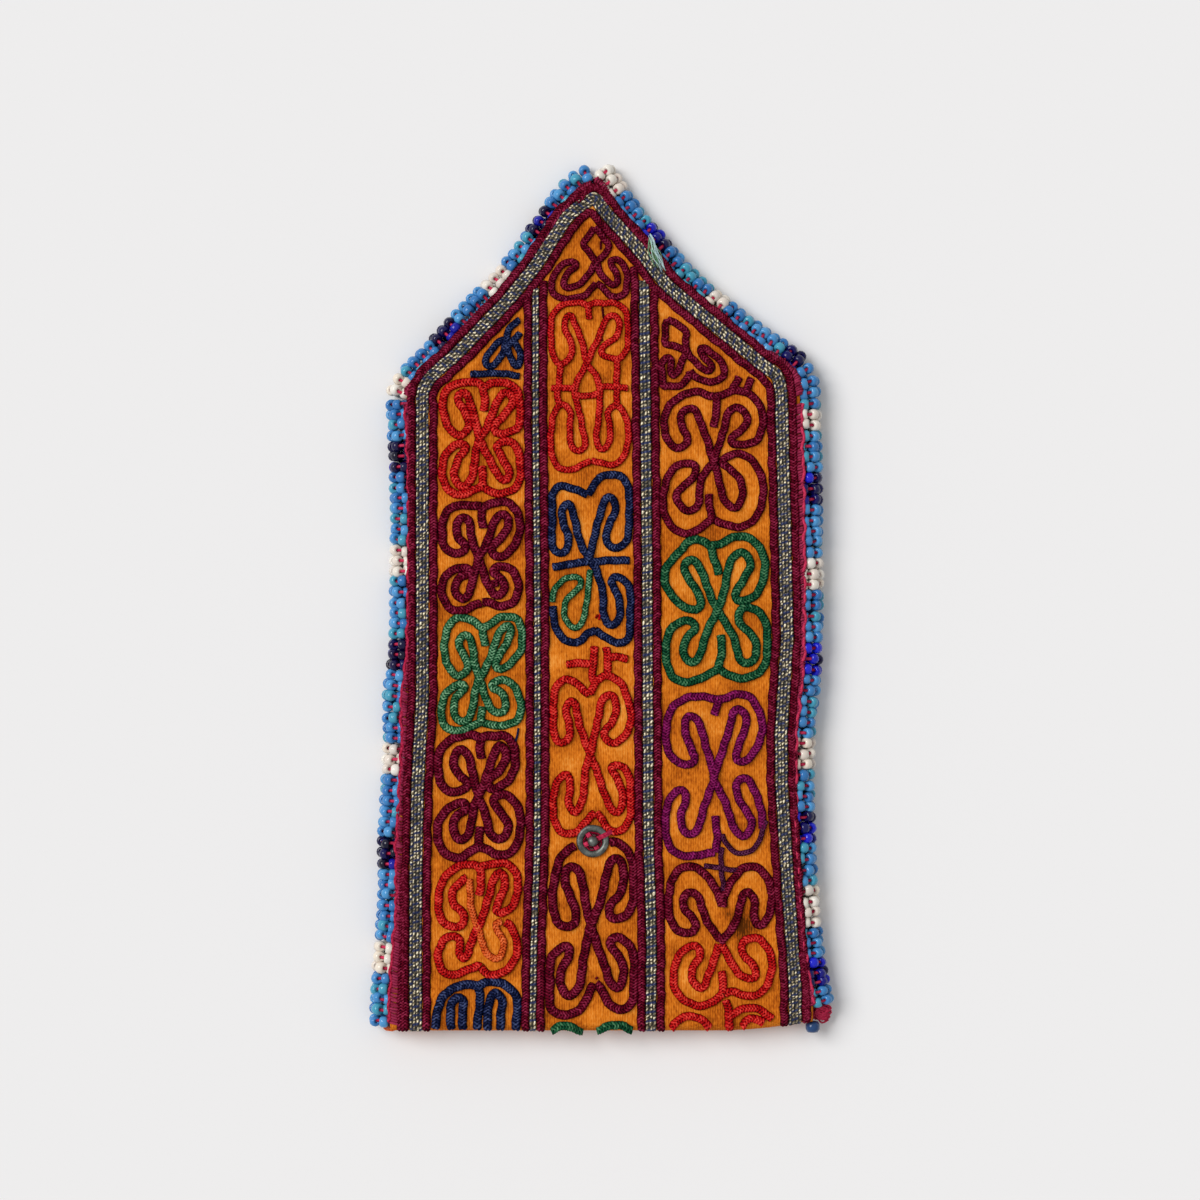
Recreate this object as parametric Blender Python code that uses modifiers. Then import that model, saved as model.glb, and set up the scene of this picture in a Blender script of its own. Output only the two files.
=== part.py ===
"""A folk wallet of ribbed orange cotton, laid open with its embroidered face up.

It is a long flat pouch that folds in three, with a pointed flap at +Y. The cover wraps the
bottom fold, the back is a plain panel, and the pocket between them opens at the shoulder.
Chain-stitched lines and motifs lie on the cover, seed beads edge the sides and the flap, and
a sewn press stud closes it. Lengths are metres, and the lists of points are millimetres.
"""
import math

import bmesh
import bpy
import numpy as np
from mathutils import Vector

MM = 0.001
MERGE = 0.001 * MM

# Cloth layers, from the embroidered face down
COVER_TOP = 6.9 * MM
COVER_THICKNESS = 0.6 * MM
LINING_THICKNESS = 0.4 * MM
BACK_THICKNESS = 0.6 * MM
LAYER_GAP = 0.2 * MM
SIDE_DROP_RATE = 0.006
FLAT_SHARE = 0.86
ACROSS = (-1, -FLAT_SHARE, 0, FLAT_SHARE, 1)
SHOULDER_Y = 44.0 * MM
TIP_Y = 85.2 * MM
FLAP_FALL = 1.7 * MM
FOLD_Y = -88.4 * MM
FOLD_DEPTH = 2.0 * MM
WRAP_END_Y = -80.0 * MM
MOUTH_Y = 38.0 * MM
FOLD_STEPS = 6
# Rows of the cloth on its face, from the tip of the flap to the last before the fold
FACE_ROWS = [85.2, 84, 81.7, 79.3, 74.3, 69.2, 64.2, 59.3, 54.4, 49.2, 46.4, 44, 41.6, 20.5, -9, -21.5, -30,
             -51, -63.5, -86.6]
BENDS = [FOLD_Y - share * FOLD_DEPTH for share in (0.6, 0.4, 0.2, 0)] + [SHOULDER_Y]

# Waist where the bottom third folds over
WAIST_Y = -22.0 * MM

# Bead edgings
BEAD_PITCH = 2.2 * MM
BEAD_OUT = 3.4 * MM
BEAD_SHOULDER = 1.2 * MM
BEAD_IN = 1.0 * MM
BEAD_HALF_HEIGHT = 3.2 * MM
TIP_HALF_HEIGHT = 2.4 * MM
BEAD_WAIST = 0.88
SIDE_AXIS_LEFT = [(-45.1, -86.6), (-43.4, -63.5), (-43.4, -51), (-42.2, -30), (-42.4, -21.5), (-41.1, -9),
                  (-40.8, 20.5), (-41.5, 41.2)]
SIDE_AXIS_RIGHT = [(45.3, -85.6), (42.4, -63.5), (41.6, -51), (41.4, -30), (42.2, -21.5), (43.1, -9),
                   (43.0, 20.5), (42.6, 41.2)]
FLAP_AXIS_LEFT = [(-41.5, 41.7), (-41.2, 43.6), (-39.6, 45.8), (-33.8, 51.8), (-27, 59.2), (-21, 65.2),
                  (-16.9, 70), (-13.3, 75), (-9.8, 80), (-6, 84.3), (-3.9, 86.2), (-1.8, 87)]
FLAP_AXIS_RIGHT = [(42.6, 41.7), (42.5, 44), (41.6, 46.8), (39.4, 49.2), (32, 54.4), (25.4, 59.4),
                   (19.6, 64.2), (14.8, 69.2), (10.4, 74.3), (6.2, 79.3), (2.6, 84), (0.3, 86.3)]

# Stitched lines
LINE_HALF_WIDTH = 0.8 * MM
LINE_HEIGHT = 0.85 * MM
LINE_GAP = 0.1 * MM
METAL_HEIGHT = 0.75 * MM
METAL_BEVEL = 0.25 * MM
OUTER_METAL_HALF = 1.25 * MM
LEFT_METAL_HALF = 0.6 * MM
RIGHT_METAL_HALF = 1.0 * MM
STITCH_GAP = 0.2 * MM
EDGE_LIFT = 0.33 * MM
OUTER_BAND = [(-38.5, -89.3), (-38.5, -60), (-38.1, -40), (-37.1, -20), (-37.1, 43), (-35.8, 45.5),
              (-30.2, 50.5), (-24.3, 56.6), (-19, 62.2), (-13.6, 69), (-7.1, 79.2), (-3.8, 82),
              (-1.3, 83.2), (1.2, 80), (8.1, 72.3), (13.6, 65.1), (23, 57.2), (33.6, 48.4), (36.8, 46),
              (37.5, 43), (38.3, 10), (38.7, -8), (37.5, -28), (37.6, -40), (38.9, -60), (40.3, -80),
              (40.4, -89.3)]
OUTER_BAND_LEFT = slice(0, 6)
OUTER_BAND_RIGHT = slice(18, None)
LEFT_DIVIDER = [(-14.2, -89.3), (-13.9, -70), (-13.2, -50), (-13.2, 0), (-13.6, 40), (-13.6, 70)]
RIGHT_DIVIDER = [(10.4, -89.3), (10.5, -70), (9.9, -50), (9.6, 10), (9.0, 66), (9.0, 70)]
LINE_TOPS = {"maroon_line_1": 61.6, "metal_band_left": 63.6, "maroon_line_2": 65.2,
             "maroon_line_3": 68.0, "metal_band_right": 64.4, "maroon_line_4": 62.4}

# Motifs: chain-stitched strands
STRAND_HALF_WIDTH = 0.7 * MM
STRAND_HEIGHT = 0.8 * MM
STRAND_TOLERANCE = 0.22 * MM
STRAND_STEP = 0.03 * MM
LEFT_ROWS = [59.0, 45.2, 20.4, -3.5, -28.2, -54.8, -79.2, -90.4]
MIDDLE_ROWS = [78.0, 61.7, 26.0, -9.6, -49.8, -87.4, -91.0]
RIGHT_ROWS = [58.6, 43.5, 13.1, -18.9, -55.0, -85.4, -90.4]

# Press stud
STUD_X = -1.7 * MM
STUD_Y = -51.1 * MM
STUD_RADIUS = 3.5 * MM
STUD_RIM = 0.6 * MM
STUD_PLATE = 0.45 * MM
STUD_RIM_HEIGHT = 0.85 * MM
STUD_NECK_RADIUS = 0.75 * MM
STUD_BALL_RADIUS = 1.05 * MM
STUD_HEIGHT = 1.8 * MM
STUD_HOLE_RADIUS = 0.45 * MM
STUD_HOLE_CIRCLE = 2.15 * MM
SOCKET_RADIUS = 3.4 * MM
SOCKET_HEIGHT = 1.7 * MM
SOCKET_BOSS_RADIUS = 1.9 * MM
SOCKET_WALL = 0.6 * MM
STUD_SIDES = 24
STUD_HOLES = 4
HOLE_SIDES = 10
BALL_STEPS = 6
THREAD_RADIUS = 0.22 * MM
SEAT_GAP = 0.3 * MM
LASHING_STEPS = 12
LASHING_START = 52
LASHING_TURN = 326

# Loose ends
TUFT_POINTS = [(9.6, 76.2), (10.9, 74.4), (11.8, 72), (12.6, 69.9), (13.3, 67.9)]
TUFT_WIDTHS = [0.35, 0.9, 1.1, 0.8, 0.25]
TUFT_RADIUS = 0.55 * MM
TUFT_LIFT = 1.75 * MM
KNOT_SEGMENTS = 12
KNOT_RINGS = 8
KNOT_CENTRE = (46.5 * MM, -87.4 * MM, 2.6 * MM)
KNOT_RADII = (2.0 * MM, 1.3 * MM, 1.7 * MM)

# Colours as sRGB bytes
ORANGE = (205, 118, 32)
MAROON = (92, 14, 38)
RED = (200, 35, 32)
ORANGE_RED = (215, 85, 35)
GREEN = (48, 98, 66)
NAVY = (32, 42, 82)
PURPLE = (122, 16, 78)
PLUM = (78, 24, 56)
TURQUOISE = (75, 150, 215)
CRIMSON = (178, 24, 62)
GILT = (165, 152, 120)
STEEL = (100, 105, 100)
PALE_GREEN = (90, 150, 120)
LINING_BROWN = (120, 78, 44)

# Traced strokes of each motif, in hundredths of its cell's half width and half height
MOTIFS = [
    ("left_motif_1", "left", 1, NAVY, [
        [(90, 80), (80, 74), (68, 62), (60, 46), (56, 26), (54, 4), (47, -18), (36, -38), (22, -53),
         (9, -54), (3, -42), (10, -22), (24, -2), (38, 14), (52, 24)],
        [(90, 44), (84, 33), (74, 20), (62, 4), (63, -14), (68, -34), (76, -52), (85, -55), (91, -43),
         (91, -26), (86, -8), (76, 16)]]),
    ("left_motif_1_bar", "left", 1, NAVY, [
        [(-34, -80), (0, -77), (30, -78), (60, -80), (90, -84)]]),
    ("left_motif_2", "left", 2, RED, [
        [(6, 85), (-6, 92), (-25, 94), (-45, 93), (-66, 88), (-80, 77), (-87, 62), (-86, 45), (-79, 28),
         (-67, 15), (-50, 8), (-34, 12), (-27, 24), (-31, 36), (-41, 50), (-50, 62), (-50, 72), (-40, 76),
         (-29, 69), (-21, 55), (-15, 38), (-10, 20), (-2, 2), (8, -14), (17, -28), (26, -41), (36, -53),
         (47, -62), (59, -64), (66, -56), (62, -45), (53, -34), (43, -22), (37, -12), (45, -5), (60, -3),
         (76, -8), (87, -20), (91, -38), (91, -55), (86, -70), (74, -81), (55, -87), (35, -87), (18, -82),
         (7, -75)],
        [(8, 85), (24, 92), (42, 94), (62, 91), (78, 84), (88, 70), (91, 52), (90, 34), (83, 20), (68, 13),
         (50, 9), (35, 12), (33, 22), (44, 32), (56, 42), (67, 53), (73, 64), (68, 74), (55, 77), (44, 70),
         (36, 58), (28, 44), (19, 30), (10, 16), (-2, 2), (-8, -12), (-13, -26), (-16, -42), (-19, -58),
         (-27, -71), (-40, -76), (-53, -71), (-60, -57), (-58, -42), (-50, -28), (-39, -19), (-34, -11),
         (-42, -6), (-56, -8), (-71, -16), (-83, -29), (-89, -47), (-87, -64), (-77, -77), (-60, -88),
         (-44, -89), (-28, -87), (-12, -80), (5, -75)],
        [(7, 84), (9, 64), (7, 46)],
        [(6, -75), (5, -58), (3, -42)]]),
    ("left_motif_3", "left", 3, MAROON, [
        [(0, 85), (-18, 87), (-40, 88), (-62, 85), (-78, 75), (-87, 60), (-89, 42), (-86, 24), (-77, 12),
         (-61, 7), (-45, 7), (-36, 14), (-41, 24), (-52, 32), (-57, 45), (-53, 58), (-42, 66), (-30, 61),
         (-24, 48), (-21, 32), (-16, 16), (-8, 0), (-1, -12), (6, -27), (12, -42), (20, -55), (32, -64),
         (44, -63), (51, -52), (48, -40), (38, -32), (28, -26), (33, -19), (47, -16), (62, -18), (75, -27),
         (82, -42), (83, -57), (78, -71), (66, -80), (48, -83), (30, -80), (14, -76), (2, -77)],
        [(2, 85), (14, 87), (30, 91), (48, 93), (64, 91), (77, 81), (85, 66), (87, 48), (83, 32), (73, 17),
         (58, 6), (42, 1), (28, 4), (24, 14), (31, 24), (43, 31), (53, 40), (61, 52), (61, 63), (52, 70),
         (40, 69), (30, 60), (22, 46), (15, 30), (8, 16), (-2, 4), (-9, -8), (-14, -22), (-19, -36),
         (-22, -50), (-28, -62), (-40, -70), (-53, -66), (-60, -54), (-57, -42), (-47, -34), (-34, -30),
         (-26, -24), (-34, -18), (-50, -19), (-67, -24), (-81, -34), (-90, -50), (-89, -64), (-81, -77),
         (-68, -87), (-52, -91), (-34, -89), (-18, -83), (0, -77)],
        [(1, 85), (2, 66), (4, 48)],
        [(29, -38), (30, -51)]]),
    ("left_motif_4", "left", 4, GREEN, [
        [(3, 75), (-5, 79), (-18, 86), (-35, 91), (-52, 91), (-67, 85), (-78, 72), (-83, 55), (-83, 38),
         (-79, 20), (-70, 6), (-58, -2), (-45, -2), (-34, 6), (-33, 20), (-40, 32), (-48, 42), (-50, 55),
         (-42, 63), (-31, 62), (-23, 53), (-20, 40), (-17, 25), (-12, 10), (-6, -4), (0, -18), (5, -31),
         (12, -43), (20, -54), (31, -62), (43, -64), (53, -58), (55, -47), (49, -36), (38, -28), (27, -23),
         (25, -16), (37, -12), (54, -11), (70, -17), (81, -29), (87, -45), (88, -60), (83, -72), (72, -80),
         (52, -84), (30, -84), (12, -81), (-1, -78)],
        [(5, 75), (14, 79), (25, 85), (39, 91), (55, 93), (71, 92), (84, 86), (91, 73), (91, 58), (90, 44),
         (83, 32), (72, 22), (60, 13), (46, 8), (35, 11), (34, 21), (41, 31), (50, 43), (59, 55), (66, 67),
         (64, 77), (54, 78), (43, 69), (34, 56), (27, 42), (20, 28), (12, 14), (4, 0), (-6, -10),
         (-13, -22), (-17, -38), (-19, -54), (-25, -68), (-37, -77), (-50, -76), (-60, -66), (-63, -52),
         (-58, -39), (-47, -30), (-37, -24), (-42, -17), (-56, -19), (-71, -26), (-83, -37), (-90, -52),
         (-91, -67), (-86, -80), (-74, -89), (-58, -93), (-40, -92), (-24, -87), (-10, -81), (-2, -78)],
        [(4, 75), (5, 60), (8, 45)],
        [(-1, -78), (-1, -66), (1, -53)]]),
    ("left_motif_5", "left", 5, MAROON, [
        [(2, 90), (-8, 93), (-25, 94), (-45, 92), (-62, 87), (-76, 77), (-85, 64), (-88, 48), (-86, 32),
         (-78, 18), (-66, 10), (-50, 8), (-36, 10), (-26, 17), (-29, 26), (-41, 32), (-51, 42), (-54, 55),
         (-48, 67), (-36, 72), (-24, 65), (-18, 52), (-15, 38), (-10, 24), (-4, 10), (2, -4), (8, -16),
         (14, -28), (19, -42), (25, -55), (36, -63), (50, -62), (61, -54), (62, -43), (55, -33), (45, -23),
         (36, -13), (32, -4), (40, 3), (55, 4), (69, -1), (80, -12), (87, -27), (89, -44), (86, -60),
         (79, -73), (66, -83), (50, -88), (33, -86), (18, -80), (0, -74)],
        [(4, 90), (18, 93), (34, 93), (50, 94), (64, 88), (74, 76), (78, 60), (76, 44), (66, 30), (52, 20),
         (36, 13), (22, 14), (20, 24), (31, 32), (43, 40), (53, 52), (57, 65), (53, 75), (43, 78), (34, 70),
         (28, 57), (22, 43), (14, 28), (6, 13), (-2, 0), (-9, -13), (-14, -27), (-18, -42), (-23, -56),
         (-34, -65), (-46, -62), (-54, -50), (-53, -37), (-45, -26), (-33, -21), (-28, -14), (-35, -9),
         (-50, -10), (-67, -18), (-80, -30), (-88, -44), (-89, -60), (-84, -73), (-72, -84), (-55, -91),
         (-40, -92), (-26, -87), (-12, -79), (-2, -74)],
        [(3, 90), (3, 75), (4, 58)],
        [(-1, -74), (0, -58), (1, -44)]]),
    ("left_motif_6", "left", 6, RED, [
        [(3, 88), (-10, 91), (-28, 92), (-45, 87), (-60, 77), (-72, 65), (-80, 50), (-83, 32), (-81, 15),
         (-76, 2), (-66, -7), (-52, -12), (-38, -11), (-28, -3), (-29, 8), (-38, 17), (-48, 25), (-53, 37),
         (-49, 50), (-40, 59), (-29, 67), (-21, 70)],
        [(63, -5), (72, -9), (81, -20), (86, -36), (87, -52), (81, -67), (71, -79), (56, -87), (38, -90),
         (20, -88), (8, -78)],
        [(6, 88), (20, 90), (35, 93), (52, 94), (68, 91), (80, 82), (88, 70), (90, 56), (87, 42), (80, 28),
         (68, 17), (54, 11), (43, 15), (43, 24), (50, 34), (57, 46), (61, 58), (59, 70), (50, 77), (40, 72),
         (33, 60), (28, 46), (23, 30), (17, 14), (10, 0), (2, -12), (-6, -26), (-13, -42), (-18, -54),
         (-28, -63), (-37, -56), (-36, -43), (-40, -32), (-52, -27), (-66, -30), (-77, -40), (-83, -54),
         (-82, -68), (-75, -82), (-62, -91), (-45, -91), (-30, -86), (-14, -80), (2, -76), (7, -78)],
        [(6, 88), (10, 70), (8, 54), (4, 40)]]),
    ("left_motif_6_orange_upper", "left", 6, ORANGE_RED, [
        [(-15, 58), (-15, 52), (-13, 34), (-11, 18)]]),
    ("left_motif_6_orange_lower", "left", 6, ORANGE_RED, [
        [(12, -36), (18, -50), (27, -60), (39, -65), (51, -60), (57, -48), (57, -36), (52, -25), (44, -16),
         (42, -7), (50, -5)]]),
    ("left_motif_7", "left", 7, NAVY, [
        [(-88, -88), (-87, -50), (-83, -10), (-74, 25), (-60, 48), (-42, 65), (-22, 76), (4, 72), (20, 80),
         (38, 85), (56, 80), (74, 62), (86, 35), (91, 0), (90, -45), (87, -92)],
        [(5, 72), (8, 40), (8, 0), (6, -40), (2, -90)]]),
    ("middle_motif_1", "middle", 1, MAROON, [
        [(13, 86), (2, 70), (-9, 52), (-11, 42), (-4, 30), (7, 14), (18, 0), (24, -18), (34, -36),
         (47, -50), (60, -57), (70, -49), (68, -36), (61, -21), (54, -8), (52, 3), (63, 7), (75, 0),
         (85, -13), (91, -30), (92, -50), (90, -68), (82, -80), (69, -86), (53, -83), (40, -73), (28, -60),
         (17, -52)],
        [(13, 86), (26, 74), (37, 59), (46, 44), (45, 32), (37, 19), (27, 9), (18, 0), (10, -14), (1, -28),
         (-9, -41), (-22, -53), (-38, -62), (-52, -64), (-61, -54), (-58, -39), (-47, -25), (-34, -14),
         (-32, -3), (-44, 1), (-60, -6), (-74, -18), (-84, -34), (-90, -52), (-88, -70), (-78, -83),
         (-63, -90), (-44, -91), (-25, -89), (-8, -81), (4, -68), (17, -52)]]),
    ("middle_motif_2", "middle", 2, RED, [
        [(-4, 92), (-24, 95), (-50, 95), (-70, 91), (-84, 83), (-90, 72), (-91, 56), (-88, 42), (-81, 31),
         (-68, 26), (-52, 29), (-43, 36), (-41, 45), (-48, 54), (-56, 63), (-58, 73), (-50, 80), (-41, 79),
         (-33, 71), (-25, 61), (-18, 50), (-12, 38), (-5, 26), (6, 19), (15, 12), (21, 4), (25, -6),
         (25, -18), (22, -30), (19, -44), (17, -58), (22, -68), (33, -71), (44, -66), (49, -54), (46, -42),
         (44, -31), (51, -24), (62, -22), (75, -25), (86, -34), (91, -48), (90, -63), (84, -76), (70, -85),
         (50, -88), (26, -86), (4, -84)],
        [(-3, 92), (14, 95), (34, 95), (56, 95), (74, 91), (87, 83), (91, 71), (91, 57), (88, 44), (79, 35),
         (64, 31), (44, 33), (30, 38), (32, 45), (46, 50), (60, 56), (70, 65), (70, 74), (60, 81), (46, 79),
         (34, 71), (26, 61), (17, 52), (8, 43), (1, 34), (-6, 26), (-18, 17), (-28, 8), (-34, -2),
         (-32, -13), (-26, -26), (-20, -39), (-14, -52), (-9, -64), (-17, -70), (-30, -72), (-41, -68),
         (-47, -57), (-46, -44), (-44, -32), (-50, -24), (-62, -21), (-77, -25), (-87, -36), (-91, -52),
         (-90, -68), (-86, -82), (-74, -91), (-56, -94), (-34, -92), (-14, -88), (4, -84)],
        [(-69, 26), (-71, 12), (-73, -2), (-76, -12), (-70, -21)],
        [(65, 31), (65, 14), (64, -4), (63, -22)],
        [(-91, -1), (-70, -2), (-48, -2), (-34, -3)],
        [(24, -1), (46, 1), (66, -1), (91, -2)],
        [(-31, -9), (-15, -11), (5, -10), (25, -7)],
        [(-4, 92), (-2, 83), (-1, 76)]]),
    ("middle_motif_3", "middle", 3, NAVY, [
        [(-8, 72), (-25, 75), (-45, 79), (-65, 82), (-82, 80), (-90, 71), (-91, 58), (-92, 42), (-92, 28),
         (-91, 16), (-84, 8), (-73, 5), (-61, 8), (-54, 15), (-55, 25), (-62, 35), (-67, 46), (-67, 55),
         (-60, 61), (-50, 61), (-43, 52), (-38, 41), (-33, 30), (-26, 20), (-18, 10), (-10, 3), (-4, -3),
         (8, -10), (16, -18), (22, -27), (27, -39), (28, -52), (31, -65), (38, -73), (51, -76), (63, -72),
         (68, -62), (66, -51), (61, -41), (54, -33), (48, -27), (55, -22), (68, -22), (81, -26), (90, -34),
         (92, -47), (92, -61), (92, -76), (88, -88), (78, -95), (64, -96), (48, -94), (33, -90), (20, -85),
         (8, -81)],
        [(-8, 72), (1, 78), (9, 86), (20, 91), (38, 94), (58, 94), (75, 91), (86, 83), (89, 70), (89, 55),
         (90, 40), (87, 27), (78, 17), (62, 12), (45, 13), (36, 19), (37, 29), (44, 39), (52, 48), (57, 57),
         (53, 65), (42, 69), (31, 66), (26, 58), (21, 48), (14, 37), (8, 26), (2, 14), (-4, -3)],
        [(-91, -54), (-88, -66), (-83, -77), (-74, -87), (-58, -94), (-40, -96), (-22, -92), (-8, -85),
         (12, -82)],
        [(-91, -11), (-62, -8), (-34, -5), (-5, -4)],
        [(2, -5), (50, -2), (91, -3)]]),
    ("middle_motif_3_green", "middle", 3, GREEN, [
        [(-4, -21), (-5, -25), (-8, -38), (-10, -50), (-14, -61), (-21, -72), (-34, -78), (-48, -77),
         (-59, -71), (-64, -62), (-61, -52), (-51, -44), (-38, -38), (-27, -32), (-27, -25), (-38, -21),
         (-54, -22), (-70, -26), (-83, -34), (-90, -44), (-91, -50)]]),
    ("middle_motif_4", "middle", 4, RED, [
        [(5, 95), (4, 84), (3, 72), (3, 62), (8, 55)],
        [(33, 94), (36, 84), (37, 74), (35, 66)],
        [(-60, 76), (-45, 77), (-22, 78), (2, 77)],
        [(38, 83), (60, 84), (85, 82)],
        [(-5, 46), (-20, 50), (-35, 57), (-50, 61), (-65, 61), (-80, 56), (-87, 46), (-90, 34), (-90, 20),
         (-88, 8), (-80, 0), (-70, -3), (-58, 0), (-51, 7), (-54, 16), (-59, 26), (-58, 34), (-48, 39),
         (-38, 35), (-33, 26), (-29, 16), (-22, 6), (-13, -4), (-3, -14), (5, -24), (14, -34), (23, -45),
         (32, -56), (41, -66), (51, -72), (63, -71), (71, -63), (71, -52), (65, -43), (55, -35), (46, -29),
         (49, -25), (62, -25), (77, -29), (87, -37), (91, -49), (91, -61), (90, -74), (83, -84), (70, -90),
         (54, -92), (38, -88), (25, -80), (10, -72)],
        [(-5, 46), (4, 54), (14, 61), (28, 65), (44, 64), (60, 60), (74, 53), (84, 42), (90, 30), (90, 18),
         (84, 9), (72, 2), (56, -2), (40, -1), (29, 5), (34, 12), (46, 18), (55, 26), (58, 35), (52, 43),
         (40, 45), (27, 42), (20, 34), (15, 24), (10, 12), (4, 0), (-3, -12), (-11, -24), (-16, -36),
         (-19, -50), (-24, -62), (-34, -71), (-46, -71), (-53, -62), (-51, -50), (-52, -41), (-59, -35),
         (-70, -36), (-82, -42), (-89, -54), (-90, -68), (-88, -80), (-78, -89), (-62, -93), (-46, -93),
         (-30, -90), (-15, -83), (-2, -76), (8, -72)]]),
    ("middle_motif_5", "middle", 5, MAROON, [
        [(-46, 86), (-54, 83), (-65, 76), (-76, 64), (-82, 50), (-85, 35), (-84, 20), (-78, 8), (-65, 2),
         (-50, 1), (-37, 6), (-34, 15), (-41, 26), (-50, 36), (-57, 46), (-58, 56), (-51, 63), (-40, 65),
         (-28, 61), (-22, 51), (-18, 39), (-14, 27), (-8, 15), (-3, 4), (3, -7), (12, -19), (20, -31),
         (28, -43), (36, -54), (46, -63), (58, -65), (67, -58), (70, -48), (65, -38), (56, -31), (47, -24),
         (41, -17), (48, -12), (62, -12), (78, -17), (88, -26), (92, -40), (92, -56), (91, -70), (87, -80),
         (76, -87), (58, -89), (42, -85), (30, -76), (20, -66), (8, -61)],
        [(52, 92), (65, 89), (78, 81), (87, 71), (91, 58), (91, 44), (89, 30), (83, 18), (70, 11), (55, 9),
         (42, 12), (38, 20), (45, 27), (56, 33), (66, 42), (70, 54), (67, 65), (58, 73), (46, 73), (37, 66),
         (31, 56), (27, 44), (22, 33), (14, 22), (6, 12), (-2, 1), (-8, -9), (-14, -21), (-18, -34),
         (-21, -48), (-26, -60), (-36, -70), (-50, -74), (-62, -70), (-68, -60), (-67, -49), (-59, -39),
         (-51, -31), (-50, -23), (-60, -21), (-75, -25), (-87, -33), (-91, -46), (-92, -60), (-92, -74),
         (-89, -86), (-78, -93), (-62, -95), (-44, -94), (-28, -89), (-14, -80), (-4, -70), (6, -61)]]),
    ("middle_motif_6_left", "middle", 6, GREEN, [
        [(-86, -30), (-75, -12), (-58, -2), (-44, -6), (-30, -28)]]),
    ("middle_motif_6_right", "middle", 6, GREEN, [
        [(14, -30), (26, -12), (42, 5), (58, 9), (72, -6), (86, -30)]]),
    ("right_motif_1", "right", 1, MAROON, [
        [(-84, 88), (-68, 77), (-55, 65), (-47, 51), (-47, 30), (-47, 10), (-41, -10), (-31, -26),
         (-18, -41), (-5, -50), (1, -42), (-3, -28), (-12, -13), (-19, 0), (-19, 10), (-10, 10), (0, 0),
         (10, -12), (20, -28), (25, -46), (23, -65), (13, -77), (-2, -80), (-18, -74), (-31, -63),
         (-43, -49)],
        [(-82, 90), (-87, 70), (-87, 45), (-85, 24), (-70, 16), (-55, 8), (-48, 0), (-53, -18), (-57, -36),
         (-64, -54), (-72, -62), (-76, -50), (-75, -32), (-79, -17), (-87, -18), (-93, -32), (-93, -55),
         (-93, -76), (-90, -90), (-81, -91), (-69, -91), (-57, -87), (-47, -75), (-41, -60), (-41, -51)]]),
    ("right_motif_2", "right", 2, MAROON, [
        [(2, 86), (-12, 88), (-28, 92), (-42, 92), (-58, 88), (-74, 80), (-86, 68), (-92, 54), (-91, 40),
         (-84, 28), (-74, 20), (-60, 19), (-49, 25), (-50, 34), (-57, 43), (-62, 53), (-60, 62), (-50, 69),
         (-38, 69), (-29, 61), (-23, 50), (-18, 39), (-13, 28), (-8, 16), (-3, 4), (4, -10), (8, -24),
         (13, -38), (20, -51), (30, -60), (42, -61), (50, -52), (52, -38), (48, -25), (38, -15), (26, -8),
         (15, -2), (22, 6), (38, 10), (55, 8), (70, 1), (82, -10), (89, -26), (90, -44), (87, -60),
         (79, -72), (66, -81), (48, -87), (30, -86), (14, -82), (0, -77)],
        [(2, 86), (12, 88), (25, 92), (40, 94), (55, 92), (70, 87), (82, 78), (88, 65), (89, 50), (86, 38),
         (79, 28), (67, 24), (50, 23), (36, 23), (32, 29), (38, 36), (50, 42), (60, 50), (61, 60), (53, 68),
         (40, 71), (28, 66), (22, 56), (18, 44), (14, 32), (8, 18), (2, 8), (-3, -2), (-14, -12),
         (-22, -24), (-27, -38), (-28, -52), (-34, -62), (-46, -66), (-58, -62), (-67, -52), (-67, -42),
         (-58, -34), (-46, -26), (-36, -18), (-33, -8), (-42, -3), (-58, -3), (-74, -10), (-86, -22),
         (-92, -38), (-93, -55), (-90, -72), (-80, -85), (-65, -93), (-48, -95), (-32, -92), (-18, -85),
         (-6, -78), (-1, -77)],
        [(4, 86), (4, 70), (2, 56), (0, 45)],
        [(-2, -77), (-8, -60), (-11, -43)],
        [(33, 94), (39, 103), (46, 113)],
        [(58, 92), (63, 102), (70, 111)]]),
    ("right_motif_3", "right", 3, GREEN, [
        [(-10, 83), (-22, 88), (-38, 91), (-52, 86), (-66, 76), (-80, 66), (-90, 54), (-93, 42), (-90, 30),
         (-80, 20), (-66, 10), (-50, 4), (-36, 2), (-28, 9), (-30, 18), (-38, 28), (-46, 37), (-54, 47),
         (-57, 57), (-52, 64), (-42, 65), (-32, 58), (-25, 47), (-19, 36), (-12, 24), (-5, 12), (3, 1),
         (14, -12), (25, -23), (33, -36), (37, -50), (44, -61), (56, -65), (68, -59), (73, -48), (70, -37),
         (61, -28), (50, -21), (42, -13), (41, -3), (49, 4), (62, 5), (76, 0), (86, -10), (91, -24),
         (92, -40), (91, -56), (86, -68), (76, -77), (60, -83), (42, -84), (24, -80), (10, -75), (4, -72)],
        [(-10, 83), (4, 85), (18, 90), (34, 94), (50, 94), (66, 90), (78, 81), (86, 67), (87, 52), (84, 38),
         (76, 26), (64, 18), (50, 14), (38, 14), (33, 20), (38, 28), (46, 36), (54, 46), (60, 56), (58, 67),
         (48, 74), (36, 73), (27, 65), (22, 54), (18, 40), (13, 26), (8, 12), (1, -1), (-9, -13),
         (-17, -25), (-22, -38), (-27, -50), (-35, -60), (-46, -63), (-56, -58), (-60, -48), (-57, -38),
         (-48, -30), (-39, -23), (-39, -16), (-48, -12), (-62, -13), (-76, -18), (-87, -28), (-90, -43),
         (-90, -58), (-87, -72), (-78, -83), (-62, -88), (-44, -88), (-26, -84), (-10, -78), (3, -72)],
        [(-10, 82), (-4, 68), (1, 56), (4, 46)],
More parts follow.
